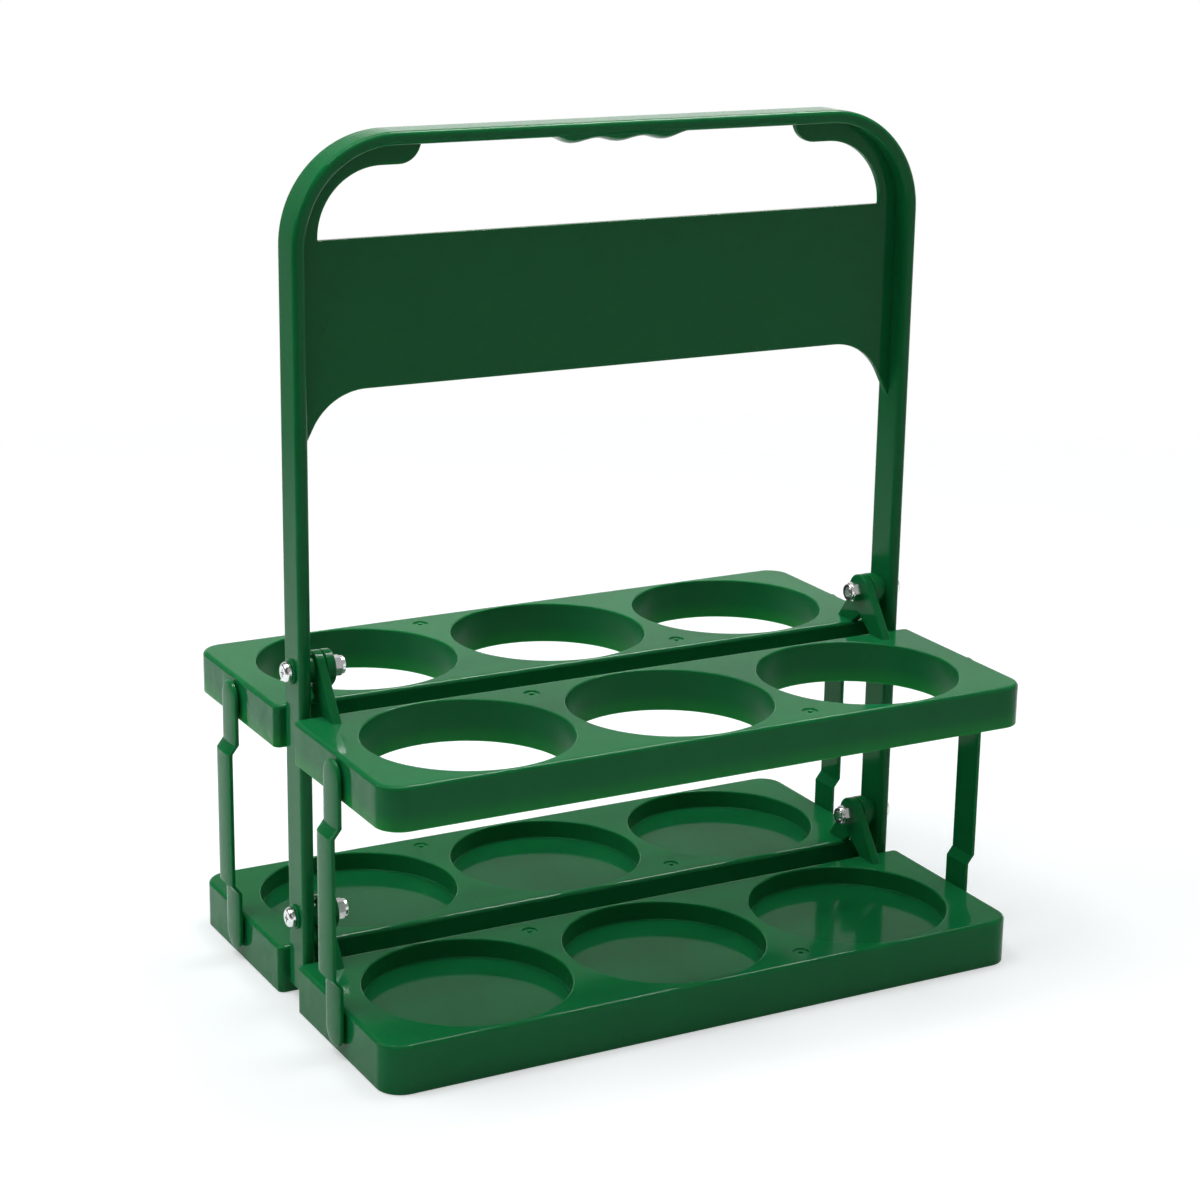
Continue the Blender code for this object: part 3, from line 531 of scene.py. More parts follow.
def turned(profile, steps, ring=False):
    """A body turned round the X axis from (along, radius) pairs, or a ring from a closed line."""
    body = bmesh.new()
    line = [body.verts.new((along, 0, radius)) for along, radius in profile]
    pairs = list(zip(line, line[1:]))
    if ring:
        pairs.append((line[-1], line[0]))
    edges = [body.edges.new(pair) for pair in pairs]
    bmesh.ops.spin(body, geom=line + edges, cent=(0, 0, 0), axis=(1, 0, 0),
                   angle=math.tau, steps=steps, use_merge=True)
    bmesh.ops.holes_fill(body, edges=body.edges, sides=0)
    bmesh.ops.recalc_face_normals(body, faces=body.faces)
    return body


def lofted(body, sections):
    """Skin a row of closed sections of a body, and close both ends."""
    for first, second in zip(sections, sections[1:]):
        for here in range(len(first)):
            there = (here + 1) % len(first)
            body.faces.new((first[here], first[there], second[there], second[here]))
    body.faces.new(sections[0])
    body.faces.new(sections[-1])
    bmesh.ops.recalc_face_normals(body, faces=body.faces)
    return body


def moved_to(body, place, axis="X"):
    """Turn a body from the X axis onto another axis, and move it."""
    turns = {"X": Matrix.Identity(3), "Y": Matrix.Rotation(math.pi / 2, 3, "Z"),
             "Z": Matrix.Rotation(-math.pi / 2, 3, "Y")}
    bmesh.ops.rotate(body, verts=body.verts, cent=(0, 0, 0), matrix=turns[axis])
    bmesh.ops.translate(body, verts=body.verts, vec=place)
    return body


# %% Rounded edges
X, Y, Z = 0, 1, 2
NEAR = 0.002 * MM


def rounded(body, width, axis, levels, segments=3):
    """Round the edges that lie in a plane across an axis, at the given levels."""
    def level_with(edge):
        ends = [vertex.co[axis] for vertex in edge.verts]
        return any(max(abs(end - level) for end in ends) < NEAR for level in levels)

    edges = [edge for edge in body.edges if level_with(edge)]
    bmesh.ops.bevel(body, geom=edges, offset=width, segments=segments, profile=0.5, affect="EDGES")
    return body


# %% Joints and cuts
CLEAR = 1 * MM


def as_object(name, bodies):
    """One object from one or more bodies, which are used up."""
    whole = bmesh.new()
    for body in bodies:
        part_mesh = bpy.data.meshes.new("part")
        body.to_mesh(part_mesh)
        whole.from_mesh(part_mesh)
        body.free()
        bpy.data.meshes.remove(part_mesh)
    mesh = bpy.data.meshes.new(name)
    whole.to_mesh(mesh)
    whole.free()
    return new_object(name, mesh)


def combined(body, tools, operation):
    """Join tools to a body or cut them from it. The tools must not touch each other."""
    target = as_object("target", [body])
    cutter = as_object("cutter", tools)
    step = target.modifiers.new("step", "BOOLEAN")
    step.operation = operation
    step.solver = "EXACT"
    step.object = cutter
    bpy.context.view_layer.update()
    result = bmesh.new()
    result.from_object(target, bpy.context.evaluated_depsgraph_get())
    for spent in (target, cutter):
        bpy.data.objects.remove(spent, do_unlink=True)
    return result


# %% [markdown]
# ## Smooth shading that keeps flat faces flat
#
# Smooth shading blends the normals at a corner. Beside a small rounded edge it
# would bend the look of the whole flat face, and a glossy flat face then
# mirrors like a spoon. Blender's weighted normals give the large face the say,
# so the bend stays within the rounding. Edges sharper than 32 degrees stay
# sharp.

# %% Finished pieces
SHARP_ANGLE = math.radians(32)
WELD = 0.001 * MM
FACE_WEIGHT = 90


def finished_mesh(name, body, finish="green_plastic"):
    """A clean mesh with its finish and its smooth and sharp edges."""
    bmesh.ops.remove_doubles(body, verts=body.verts, dist=WELD)
    bmesh.ops.dissolve_degenerate(body, edges=body.edges, dist=WELD)
    bmesh.ops.recalc_face_normals(body, faces=body.faces)
    mesh = bpy.data.meshes.new(name)
    body.to_mesh(mesh)
    body.free()
    mesh.materials.append(FINISHES[finish])
    mesh.shade_smooth()
    mesh.set_sharp_from_angle(angle=SHARP_ANGLE)
    return mesh


def set_in_place(name, mesh, pivot, half_turn, body, node):
    """A piece at its pivot, turned half round if asked, that rides a body and replaces a node."""
    own_mesh = mesh.copy()
    own_mesh.name = name
    turn = Matrix.Rotation(math.pi if half_turn else 0, 4, "Z")
    own_mesh.transform(Matrix.Translation(pivot) @ turn)
    piece = new_object(name, own_mesh)
    even = piece.modifiers.new("even_normals", "WEIGHTED_NORMAL")
    even.keep_sharp = True
    even.weight = FACE_WEIGHT
    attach(piece, body)
    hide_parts(node)


# %% [markdown]
# ## The trays
#
# A tray is a shell: a deck on top, a skirt round it, a collar round each hole
# and thin ribs between them, all about 2 mm thick. Thick plastic would cool
# slowly and sink, so a moulder makes walls and not blocks. The shell could be
# built wall by wall, but pockets cut from a block follow the tool, and leave
# each wall as thick as its two pockets say.

# %% Tray sizes
TRAY_HALF_LENGTH = 155 * MM
TRAY_INNER_Y = 9.8 * MM
TRAY_OUTER_Y = 105 * MM
TRAY_MIDDLE_Y = (TRAY_INNER_Y + TRAY_OUTER_Y) / 2
TRAY_HALF_DEPTH = (TRAY_OUTER_Y - TRAY_INNER_Y) / 2
OUTER_CORNER = 11 * MM
INNER_CORNER = 3 * MM
EDGE_FILLET = 1.9 * MM
FOOT_ROUNDING = 0.3 * MM
WALL = 2.4 * MM
RIB = 1.8 * MM
HOLE_RADIUS = 45 * MM
HOLE_PITCH = 96.3 * MM
HOLE_PLACES = (-HOLE_PITCH, 0.0, HOLE_PITCH)
HOLE_DEPTH = 40 * MM
RIM_FILLET = 0.8 * MM
RIM_ARC_END = 15
RIM_FLARE = 1.6
FLOOR_FILLET = 0.6 * MM
COLLAR_RADIUS = HOLE_RADIUS + WALL
BOLT_DROP = 17.9 * MM
CUSP_START = 15 * MM
CUSP_TIP = 1 * MM
END_RIB = 16.5 * MM
END_WALL = 4 * MM
INNER_POCKET_CORNER = 1 * MM
HOLE_STEPS = 112


# %% Tray holes and recesses
def tray_hole(x, floor, top):
    """What a bottle hole or recess takes away, with its rim and floor corner rounded."""
    profile = [(top - HOLE_DEPTH, HOLE_RADIUS)]
    if floor is not None:
        corner = arc((HOLE_RADIUS - FLOOR_FILLET, 0), FLOOR_FILLET, 90, 0, 4)
        profile = [(floor + FLOOR_FILLET - along, radius) for radius, along in corner]
    rim = arc((top - RIM_FILLET, -HOLE_RADIUS - RIM_FILLET), RIM_FILLET, 90, RIM_ARC_END, 5)
    profile += [(along, -radius) for along, radius in rim]
    profile.append((top + CLEAR, HOLE_RADIUS + RIM_FILLET * RIM_FLARE))
    return moved_to(turned(profile, HOLE_STEPS), (x, -TRAY_MIDDLE_Y, 0), "Z")


# %% Pockets under the deck
def collar_side(near, far):
    """Points round a collar between two distances from the tray's middle line."""
    turns = [math.degrees(math.asin(value / COLLAR_RADIUS)) for value in (near, far)]
    return arc((0, 0), COLLAR_RADIUS, *turns, 12)


def tray_pockets(base, ceiling):
    """Every pocket on the underside: between the holes, in the corners and behind the link pivots."""
    skirt = TRAY_HALF_DEPTH - WALL
    tip = skirt - CUSP_TIP
    rib_x = HOLE_PITCH / 2 - RIB / 2
    end_x = TRAY_HALF_LENGTH - HOLE_PITCH - WALL
    near = END_RIB + RIB / 2
    far = END_RIB - RIB / 2
    link_x = TRAY_HALF_LENGTH - HOLE_PITCH - END_WALL
    cusp = collar_side(CUSP_START, tip)
    cusp += [(cusp[-1][0], skirt), (rib_x, skirt), (rib_x, CUSP_START)]
    pockets = []
    for side_y in (-1, 1):
        corner = OUTER_CORNER - WALL if side_y < 0 else INNER_POCKET_CORNER
        end = collar_side(near, tip)
        end.append((end[-1][0], skirt))
        end += arc((end_x - corner, skirt - corner), corner, 90, 0, 6) + [(end_x, near)]
        for side_x in (-1, 1):
            pockets += [(0, side_x, side_y, cusp), (side_x * HOLE_PITCH, -side_x, side_y, cusp),
                        (side_x * HOLE_PITCH, side_x, side_y, end)]
    behind_link = collar_side(-far, far) + [(link_x, far), (link_x, -far)]
    pockets += [(side_x * HOLE_PITCH, side_x, 1, behind_link) for side_x in (-1, 1)]
    placed = [[(x + side_x * a, -TRAY_MIDDLE_Y + side_y * b) for a, b in outline]
              for x, side_x, side_y, outline in pockets]
    return [plate(outline, base - CLEAR, ceiling, "xy") for outline in placed]


# %% [markdown]
# ## Hinge ears
#
# Each tray hangs from two ears that stand on its inner edge. An ear is a disc
# round the bolt with two straight edges down to the deck, so its outline is
# found from tangents, as on a drawing board, with a straight edge laid against
# a circle. On each bolt one tray's ear lies against the leg, and the other
# tray's ear lies next to it, against the nut.

# %% Ear sizes and outline
EAR_RADIUS = 7.8 * MM
EAR_THICKNESS = 4 * MM
EAR_FOOT_Y = 23 * MM
EAR_BACK_Y = 10.4 * MM
EAR_SINK = 1.5 * MM
EAR_ROUNDING = 0.5 * MM
EAR_NEAR_LEG_X = 142 * MM
EAR_NEAR_NUT_X = 137.6 * MM
BOLT_HOLE = 2.8 * MM
BORE_REACH = 170 * MM


def ear_outline():
    """The ear from the side, with its foot sunk into the deck."""
    sides = []
    for foot, hand in ((-EAR_FOOT_Y, 1), (-EAR_BACK_Y, -1)):
        away = math.hypot(foot, BOLT_DROP)
        towards = math.degrees(math.atan2(BOLT_DROP, -foot))
        turn = towards + hand * math.degrees(math.asin(EAR_RADIUS / away))
        sunk_y = foot - EAR_SINK / math.tan(math.radians(turn))
        sides.append((turn, (sunk_y, -BOLT_DROP - EAR_SINK)))
    (front_turn, front_foot), (back_turn, back_foot) = sides
    return [front_foot, back_foot] + arc((0, 0), EAR_RADIUS, back_turn - 90, front_turn + 90, 28)


def ear(outer_x, inwards):
    """One ear, from its face at outer_x inwards."""
    low, high = sorted((outer_x, outer_x + inwards * EAR_THICKNESS))
    return rounded(plate(ear_outline(), low, high, "yz"), EAR_ROUNDING, X, (low, high))


def bolt_bore(z):
    """What drilling both bolt holes at a height, right through the object, takes away."""
    return moved_to(turned([(-BORE_REACH, BOLT_HOLE), (BORE_REACH, BOLT_HOLE)], 40), (0, 0, z))


# %% [markdown]
# ## One tray, start to finish
#
# The block gets its outer edges rounded first, while it is still simple, then
# its holes, its pockets, its gate marks and its ears. A gate mark is the little
# dished disc on the deck where the plastic ran into the mould and was cut off.
# Rounding edges after the booleans would have to deal with hundreds of short
# edges, so it comes before them. The walls of the holes and the recess floors
# are found by where they are and how they face, and get their own finishes.

# %% Gate marks, peg holes and finishes
GATE_RADIUS = 3.6 * MM
GATE_SLOPE = 0.3 * MM
GATE_SPREAD = 0.5 * MM
GATE_STUB = 1 * MM
GATE_DEPTH = 0.6 * MM
GATE_Y = 36.5 * MM
RELIEF_RADIUS = 44.5 * MM
RECESS_FLOOR_THICKNESS = 2.2 * MM
LINK_Y = 57 * MM
LINK_DROP = 9.5 * MM
PEG_HOLE = 2.9 * MM
UPRIGHT = 0.05
FLAT = 0.9
WALL_BAND = 0.1 * MM
DECK_BAND = 5 * MM


def tray_plan():
    """The tray from above."""
    half = arc((TRAY_HALF_LENGTH - OUTER_CORNER, OUTER_CORNER - TRAY_OUTER_Y), OUTER_CORNER, -90, 0, 14)
    half += arc((TRAY_HALF_LENGTH - INNER_CORNER, -TRAY_INNER_Y - INNER_CORNER), INNER_CORNER, 0, 90, 8)
    return half + mirrored_in_x(half)


def gate_mark(x, y, top):
    """The ring-shaped dish that leaves a stub in its middle."""
    floor = top - GATE_DEPTH
    profile = [(floor, GATE_STUB), (floor, GATE_RADIUS - GATE_SLOPE), (top, GATE_RADIUS),
               (top + CLEAR, GATE_RADIUS + GATE_SPREAD), (top + CLEAR, GATE_STUB)]
    return moved_to(turned(profile, 32, ring=True), (x, y, 0), "Z")


def peg_holes(z):
    """What the holes for the link pegs take out of both end walls."""
    reach = (TRAY_HALF_LENGTH - END_WALL - CLEAR, TRAY_HALF_LENGTH + CLEAR)
    holes = []
    for side in (-1, 1):
        profile = [(x, PEG_HOLE) for x in sorted(side * x for x in reach)]
        holes.append(moved_to(turned(profile, 32), (0, -LINK_Y, z)))
    return holes


def reliefs(base, ceiling):
    """The round hollows under the recess floors."""
    profile = [(base - CLEAR, RELIEF_RADIUS), (ceiling, RELIEF_RADIUS)]
    return [moved_to(turned(profile, 72), (x, -TRAY_MIDDLE_Y, 0), "Z") for x in HOLE_PLACES]


def finish_tray(mesh, top, outside, inside):
    """One finish outside, one on the walls of the holes and one with painted shade on the recess floors.
    """
    mesh.materials.clear()
    for material in (outside, inside, green_floor_painted_shade_plastic):
        mesh.materials.append(material)
    for face in mesh.polygons:
        reach = min(math.hypot(face.center.x - x, face.center.y + TRAY_MIDDLE_Y) for x in HOLE_PLACES)
        if abs(face.normal.z) < UPRIGHT and abs(reach - HOLE_RADIUS) < WALL_BAND:
            face.material_index = 1
        elif face.normal.z > FLAT and reach < HOLE_RADIUS and face.center.z < top - DECK_BAND:
            face.material_index = 2


# %% Tray
def tray(name, thickness, recess_floor, outside, inside):
    """A front tray, seen from its hinge axis. A recess floor of None leaves open rings."""
    top = -BOLT_DROP
    base = top - thickness
    floor = None if recess_floor is None else base + recess_floor
    body = rounded(plate(tray_plan(), base, top, "xy"), EDGE_FILLET, Z, (top,), segments=5)
    body = rounded(body, FOOT_ROUNDING, Z, (base,), segments=2)
    cuts = [tray_hole(x, floor, top) for x in HOLE_PLACES] + tray_pockets(base, top - WALL)
    cuts += [gate_mark(side * HOLE_PITCH / 2, -TRAY_MIDDLE_Y - side * GATE_Y, top) for side in (-1, 1)]
    if floor is not None:
        cuts += reliefs(base, floor - RECESS_FLOOR_THICKNESS)
    body = combined(body, cuts, "DIFFERENCE")
    body = combined(body, [ear(-EAR_NEAR_LEG_X, 1), ear(EAR_NEAR_NUT_X, -1)], "UNION")
    body = combined(body, [bolt_bore(0)] + peg_holes(top - LINK_DROP), "DIFFERENCE")
    mesh = finished_mesh(name, body)
    finish_tray(mesh, top, outside, inside)
    return mesh


# %% Four trays
BOLT_Z = {"upper": 150.6 * MM, "lower": 39.4 * MM}
TRAY_ROWS = (
    ("upper", 19 * MM, None, green_painted_glow_plastic, green_satin_painted_glow_plastic),
    ("lower", 21.5 * MM, 12.6 * MM, green_tray_plastic, green_bore_plastic),
)
for level, thickness, recess_floor, outside, inside in TRAY_ROWS:
    tray_mesh = tray(level + "_tray", thickness, recess_floor, outside, inside)
    for row, half_turn in (("front", False), ("rear", True)):
        set_in_place(f"{level}_{row}_tray_moulding", tray_mesh, (0, 0, BOLT_Z[level]), half_turn,
                     f"{level}_{row}", f"{level}_{row}_tray")
    print(level, "tray has", len(tray_mesh.polygons), "faces")

# %% [markdown]
# ## The carrying frame
#
# The frame is a flat band, turned over at the top into a handle, with a thin web
# across it for stiffness. The web stops short under the handle to leave room
# for the hand. Its corners run out in long slants and short hooks, which keep a
# crack from starting there. Three soft waves under the handle fit the fingers.

# %% Frame sizes
FRAME_OUTER_X = 151 * MM
FRAME_BAND = 5.7 * MM
FRAME_HALF_DEPTH = 9 * MM
FRAME_FOOT_Z = 6 * MM
FRAME_TOP_Z = 375.4 * MM
FRAME_CORNER = 46 * MM
FRAME_ROUNDING = 2.3 * MM
CORNER_CENTRE = (FRAME_OUTER_X - FRAME_CORNER, FRAME_TOP_Z - FRAME_CORNER)
WEB_Y = (0.2 * MM, 3.2 * MM)
WEB_BOTTOM_Z = 268.9 * MM
WEB_BOTTOM_END_X = 115.4 * MM
WEB_BOTTOM_CORNER = 27 * MM
WEB_SLANT = 63.0
WEB_ROUNDING = 0.4 * MM
OPENING_BOTTOM_Z = 331.7 * MM
OPENING_SIDE_X = 136.5 * MM
OPENING_CORNER = 28.5 * MM
OPENING_CORNER_Z = 332.4 * MM
OPENING_NOTCH = 0.6 * MM
HOOK_X = 100 * MM
HOOK_RADIUS = 10 * MM


# %% Band and web outlines
def band_outline():
    """The band from the front: two legs and the arch that joins them."""
    outer = [(FRAME_OUTER_X - FRAME_BAND, FRAME_FOOT_Z), (FRAME_OUTER_X, FRAME_FOOT_Z)]
    outer += arc(CORNER_CENTRE, FRAME_CORNER, 0, 90, 28)
    inner = arc(CORNER_CENTRE, FRAME_CORNER - FRAME_BAND, 90, 0, 28)
    return outer + mirrored_in_x(outer) + mirrored_in_x(inner) + inner


def web_outline():
    """The web from the front, with its outer edge sunk into the band."""
    sunk = FRAME_BAND / 2
    sunk_x = FRAME_OUTER_X - sunk
    corner = WEB_BOTTOM_CORNER
    half = arc((WEB_BOTTOM_END_X, WEB_BOTTOM_Z - corner), corner, 90, 90 - WEB_SLANT, 16)
    slant_x, slant_z = half[-1]
    half.append((sunk_x, slant_z - (sunk_x - slant_x) * math.tan(math.radians(WEB_SLANT))))
    half += arc(CORNER_CENTRE, FRAME_CORNER - sunk, 0, 90, 20)
    half.append((HOOK_X - HOOK_RADIUS, FRAME_TOP_Z - sunk))
    half += arc((HOOK_X, OPENING_CORNER_Z + OPENING_CORNER + HOOK_RADIUS), HOOK_RADIUS, 180, 270, 10)
    half += arc((OPENING_SIDE_X - OPENING_CORNER, OPENING_CORNER_Z), OPENING_CORNER, 90, 0, 24)
    notch = OPENING_NOTCH
    half += arc((OPENING_SIDE_X - notch, OPENING_BOTTOM_Z + notch), notch, 0, -90, 4)
    return half + mirrored_in_x(half)


# %% Finger waves
WAVE_PITCH = 22 * MM
WAVE_MEAN = 2.8 * MM
WAVE_SWING = 0.9 * MM
WAVE_FADE = 13 * MM
WAVE_HALF_WIDTH = 8 * MM
WAVE_ROOT = 0.5 * MM
WAVE_STEPS = 80


def wave_depth(x):
    """How far the finger waves hang below the handle at x."""
    along = abs(x)
    if along <= WAVE_PITCH:
        return WAVE_MEAN + WAVE_SWING * math.cos(math.tau * along / WAVE_PITCH)
    fade = (1 + math.cos(math.pi * (along - WAVE_PITCH) / WAVE_FADE)) / 2
    return (WAVE_MEAN + WAVE_SWING + WAVE_ROOT / 2) * fade - WAVE_ROOT / 2


def finger_waves():
    """Three waves, lofted through half ellipses."""
    reach = WAVE_PITCH + WAVE_FADE
    root_z = FRAME_TOP_Z - FRAME_BAND + WAVE_ROOT
    body = bmesh.new()
    sections = []
    for step in range(WAVE_STEPS + 1):
        x = -reach + 2 * reach * step / WAVE_STEPS
        depth = wave_depth(x) + WAVE_ROOT
        points = [(x, WAVE_HALF_WIDTH * a, root_z - depth * b) for a, b in arc((0, 0), 1, 0, 180, 14)]
        sections.append([body.verts.new(point) for point in points])
    return lofted(body, sections)


# %% Bosses
INNER_BOSS_RADIUS = 5.75 * MM
INNER_BOSS_HEIGHT = 3.1 * MM
OUTER_BOSS_RADIUS = 5.4 * MM
OUTER_BOSS_HEIGHT = 1.2 * MM
BOSS_ROUNDING = 0.3 * MM


def boss(side, bolt_z):
    """The raised rings round a bolt hole, on both faces of a leg."""
    low = FRAME_OUTER_X - FRAME_BAND - INNER_BOSS_HEIGHT
    middle = FRAME_OUTER_X - FRAME_BAND / 2
    high = FRAME_OUTER_X + OUTER_BOSS_HEIGHT
    inner, outer, soft = INNER_BOSS_RADIUS, OUTER_BOSS_RADIUS, BOSS_ROUNDING
    profile = [(low, inner - soft), (low + soft, inner), (middle, inner),
               (middle, outer), (high - soft, outer), (high, outer - soft)]
    return moved_to(turned([(side * along, radius) for along, radius in profile], 48), (0, 0, bolt_z))


# %% [markdown]
# ## The frame put together
#
# The band, the web, the waves and the bosses are joined first, and the bolt
# holes drilled through all of them at once. The web also gets the shallow round
# mark of the pin that pushed the moulding out.

# %% Frame moulding
EJECTOR_PLACE = (-137.3 * MM, 298 * MM)
EJECTOR_RADIUS = 4.85 * MM
EJECTOR_DEPTH = 0.12 * MM
BAND_Y = (-FRAME_HALF_DEPTH, FRAME_HALF_DEPTH)

band = rounded(plate(band_outline(), *BAND_Y, "xz"), FRAME_ROUNDING, Y, BAND_Y, segments=5)
web = rounded(plate(web_outline(), *WEB_Y, "xz"), WEB_ROUNDING, Y, WEB_Y)
bosses = [boss(side, bolt_z) for side in (-1, 1) for bolt_z in BOLT_Z.values()]
body = combined(combined(band, [web], "UNION"), [finger_waves()] + bosses, "UNION")
marks = [bolt_bore(bolt_z) for bolt_z in BOLT_Z.values()]
dish = [(WEB_Y[0] - CLEAR, EJECTOR_RADIUS), (WEB_Y[0] + EJECTOR_DEPTH, EJECTOR_RADIUS)]
marks.append(moved_to(turned(dish, 40), (EJECTOR_PLACE[0], 0, EJECTOR_PLACE[1]), "Y"))
frame_mesh = finished_mesh("carrying_frame", combined(body, marks, "DIFFERENCE"))
set_in_place("carrying_frame_moulding", frame_mesh, (0, 0, 0), False, "frame", "handle_frame")
print("frame has", len(frame_mesh.polygons), "faces")

# %% [markdown]
# ## The links
#
# A link is a flat strip that steps outwards in its middle, so that its two ends
# lie close to the trays and its middle clears their skirts. Its outer face is
# bevelled along both edges and round both ends. The strip is lofted down its
# length, row by row, which keeps the steps clean, and the bevel comes from how
# near each point lies to the outline.

# %% Link strip
LINK_RADIUS = 7.7 * MM
LINK_THICKNESS = 2.5 * MM
LINK_STANDOFF = 1.3 * MM
LINK_GAP = 0.3 * MM
LINK_JOG = 3.1 * MM
JOG_START = 20.5 * MM
JOG_END = 24.5 * MM
LINK_BEVEL = 3.6 * MM
LINK_BEVEL_DROP = 0.75 * MM
LINK_LEAST_FLAT = 0.3
LINK_ROUNDING = 0.45 * MM
LINK_EDGE_ANGLE = math.radians(50)
LINK_LENGTH = BOLT_Z["upper"] - BOLT_Z["lower"]


def link_rows():
    """Height, half width and offset down the link, the lower half mirroring the upper one."""
    upper = [(z, half, 0.0) for z, half in arc((0, 0), LINK_RADIUS, 6, 90, 12)]
    upper += [(-JOG_START, LINK_RADIUS, 0.0), (-JOG_END, LINK_RADIUS, LINK_JOG)]
    return upper + [(-LINK_LENGTH - z, half, offset) for z, half, offset in reversed(upper)]


def edge_distance(point):
    """How far inside the strip's outline a point lies."""
    beyond = max(point.z, -LINK_LENGTH - point.z, 0.0)
    return LINK_RADIUS - math.hypot(point.y, beyond)


def link_strip():
    """The strip without its pegs, on the right of the object, with its upper pivot at the origin."""
    body = bmesh.new()
    rows = []
    for z, half, offset in link_rows():
        x = LINK_STANDOFF + offset
        flat = max(half - LINK_BEVEL, half * LINK_LEAST_FLAT)
        rows.append([body.verts.new((x, y, z)) for y in (-half, -flat, flat, half)])
    faces = []
    for upper, lower in zip(rows, rows[1:]):
        for here in range(3):
            corners = (upper[here], upper[here + 1], lower[here + 1], lower[here])
            faces.append(body.faces.new(corners))
    grown = bmesh.ops.extrude_face_region(body, geom=faces)
    outer = [item for item in grown["geom"] if isinstance(item, bmesh.types.BMVert)]
    bmesh.ops.translate(body, verts=outer, vec=(LINK_THICKNESS, 0, 0))
    for vertex in outer:
        vertex.co.x -= LINK_BEVEL_DROP * max(0.0, 1 - edge_distance(vertex.co) / LINK_BEVEL)
    bmesh.ops.recalc_face_normals(body, faces=body.faces)

    def runs_round(edge):
        run = edge.verts[1].co - edge.verts[0].co
        through = abs(run.y) < NEAR and abs(run.z) < NEAR
        return not through and edge.calc_face_angle(0) > LINK_EDGE_ANGLE

    edges = [edge for edge in body.edges if runs_round(edge)]
    bmesh.ops.bevel(body, geom=edges, offset=LINK_ROUNDING, segments=3, profile=0.5, affect="EDGES")
    return body


# %% Pegs and links
PEG_RADIUS = 2.5 * MM
PEG_HEAD = 3.75 * MM
PEG_HEAD_HEIGHT = 1.5 * MM
PEG_CHAMFER = 0.5 * MM
PEG_SHOULDER = 4.5 * MM


def peg(z):
    """A headed peg from the link through the tray's end wall."""
    neck = -END_WALL - LINK_GAP
    tip = neck - PEG_HEAD_HEIGHT
    root = LINK_STANDOFF + LINK_THICKNESS / 2
    profile = [(tip, PEG_HEAD - PEG_CHAMFER), (tip + PEG_CHAMFER, PEG_HEAD), (neck, PEG_HEAD),
               (neck, PEG_RADIUS), (LINK_GAP, PEG_RADIUS), (LINK_GAP, PEG_SHOULDER),
               (root, PEG_SHOULDER)]
    return moved_to(turned(profile, 32), (0, 0, z))


link_mesh = finished_mesh("link", combined(link_strip(), [peg(0), peg(-LINK_LENGTH)], "UNION"))
for row, y in (("front", -LINK_Y), ("rear", LINK_Y)):
    for side, x in (("left", -TRAY_HALF_LENGTH), ("right", TRAY_HALF_LENGTH)):
        pivot = (x, y, BOLT_Z["upper"] - BOLT_DROP - LINK_DROP)
        set_in_place(f"link_{row}_{side}_moulding", link_mesh, pivot, side == "left",
                     f"{row}_{side}_link", f"link_{row}_{side}")
print("link has", len(link_mesh.polygons), "faces")

# %% [markdown]
# ## Bolts and lock nuts
#
# The bolts are 5 mm pan head screws with a cross recess. Their thread has a
# pitch of 0.8 mm, and it is modelled where it can be seen, at the tip past the
# nut. A thread is a groove that climbs as it goes round, so the radius of
# each point depends on its place along the bolt less its share of a turn. A
# bump pattern would not change the outline, and the tip is seen edge on.

# %% Bolt sizes
BOLT_RADIUS = 2.5 * MM
THREAD_PITCH = 0.8 * MM
THREAD_DEPTH = 0.45 * MM
THREAD_END_X = 135 * MM
THREAD_FLANK = 0.42
THREAD_SIDES = 40
THREAD_STEPS = 96
RUN_OUT_STEPS = 6
BOLT_TIP_X = 127.4 * MM
BOLT_TIP_CHAMFER = 0.5 * MM
HEAD_X = 152.5 * MM
HEAD_HEIGHT = 2.8 * MM
HEAD_RADIUS = 4.5 * MM
HEAD_RIM = 0.8 * MM
HEAD_CHAMFER = 0.2 * MM
HEAD_FACE_RADIUS = 2.9 * MM
CROSS_ARM = 2.4 * MM
CROSS_HALF_SLOT = 0.6 * MM
CROSS_DEPTH = 1.9 * MM
CROSS_TAPER = 0.5


# %% Bolt
def thread():
    """The threaded end of the bolt, with a chamfered tip."""
    body = bmesh.new()
    rings = []
    for step in range(THREAD_STEPS + 1):
        along = (THREAD_END_X - BOLT_TIP_X) * step / THREAD_STEPS
        run_out = min(1.0, (THREAD_STEPS - step) / RUN_OUT_STEPS)
        ring = []
        for part in range(THREAD_SIDES):
            turn = math.tau * part / THREAD_SIDES
            phase = (along / THREAD_PITCH - part / THREAD_SIDES) % 1.0
            groove = THREAD_DEPTH * max(0.0, 1 - abs(phase - 0.5) / THREAD_FLANK)
            radius = min(BOLT_RADIUS - groove * run_out, BOLT_RADIUS - BOLT_TIP_CHAMFER + along)
            point = (BOLT_TIP_X + along, radius * math.cos(turn), radius * math.sin(turn))
            ring.append(body.verts.new(point))
        rings.append(ring)
    return lofted(body, rings)


def cross_recess():
    """The tapered cross that a screwdriver fits."""
    face_x = HEAD_X + HEAD_HEIGHT
    arm, half = CROSS_ARM, CROSS_HALF_SLOT
    corners = ((arm, -half), (arm, half), (half, half))
    outline = []
    for quarter in range(4):
        spin = Matrix.Rotation(quarter * math.pi / 2, 2)
        outline += [tuple(spin @ Vector(corner)) for corner in corners]
    body = plate(outline, face_x - CROSS_DEPTH, face_x + CLEAR, "yz")
    for vertex in body.verts:
        if vertex.co.x < face_x:
            vertex.co.y *= CROSS_TAPER
            vertex.co.z *= CROSS_TAPER
    return body


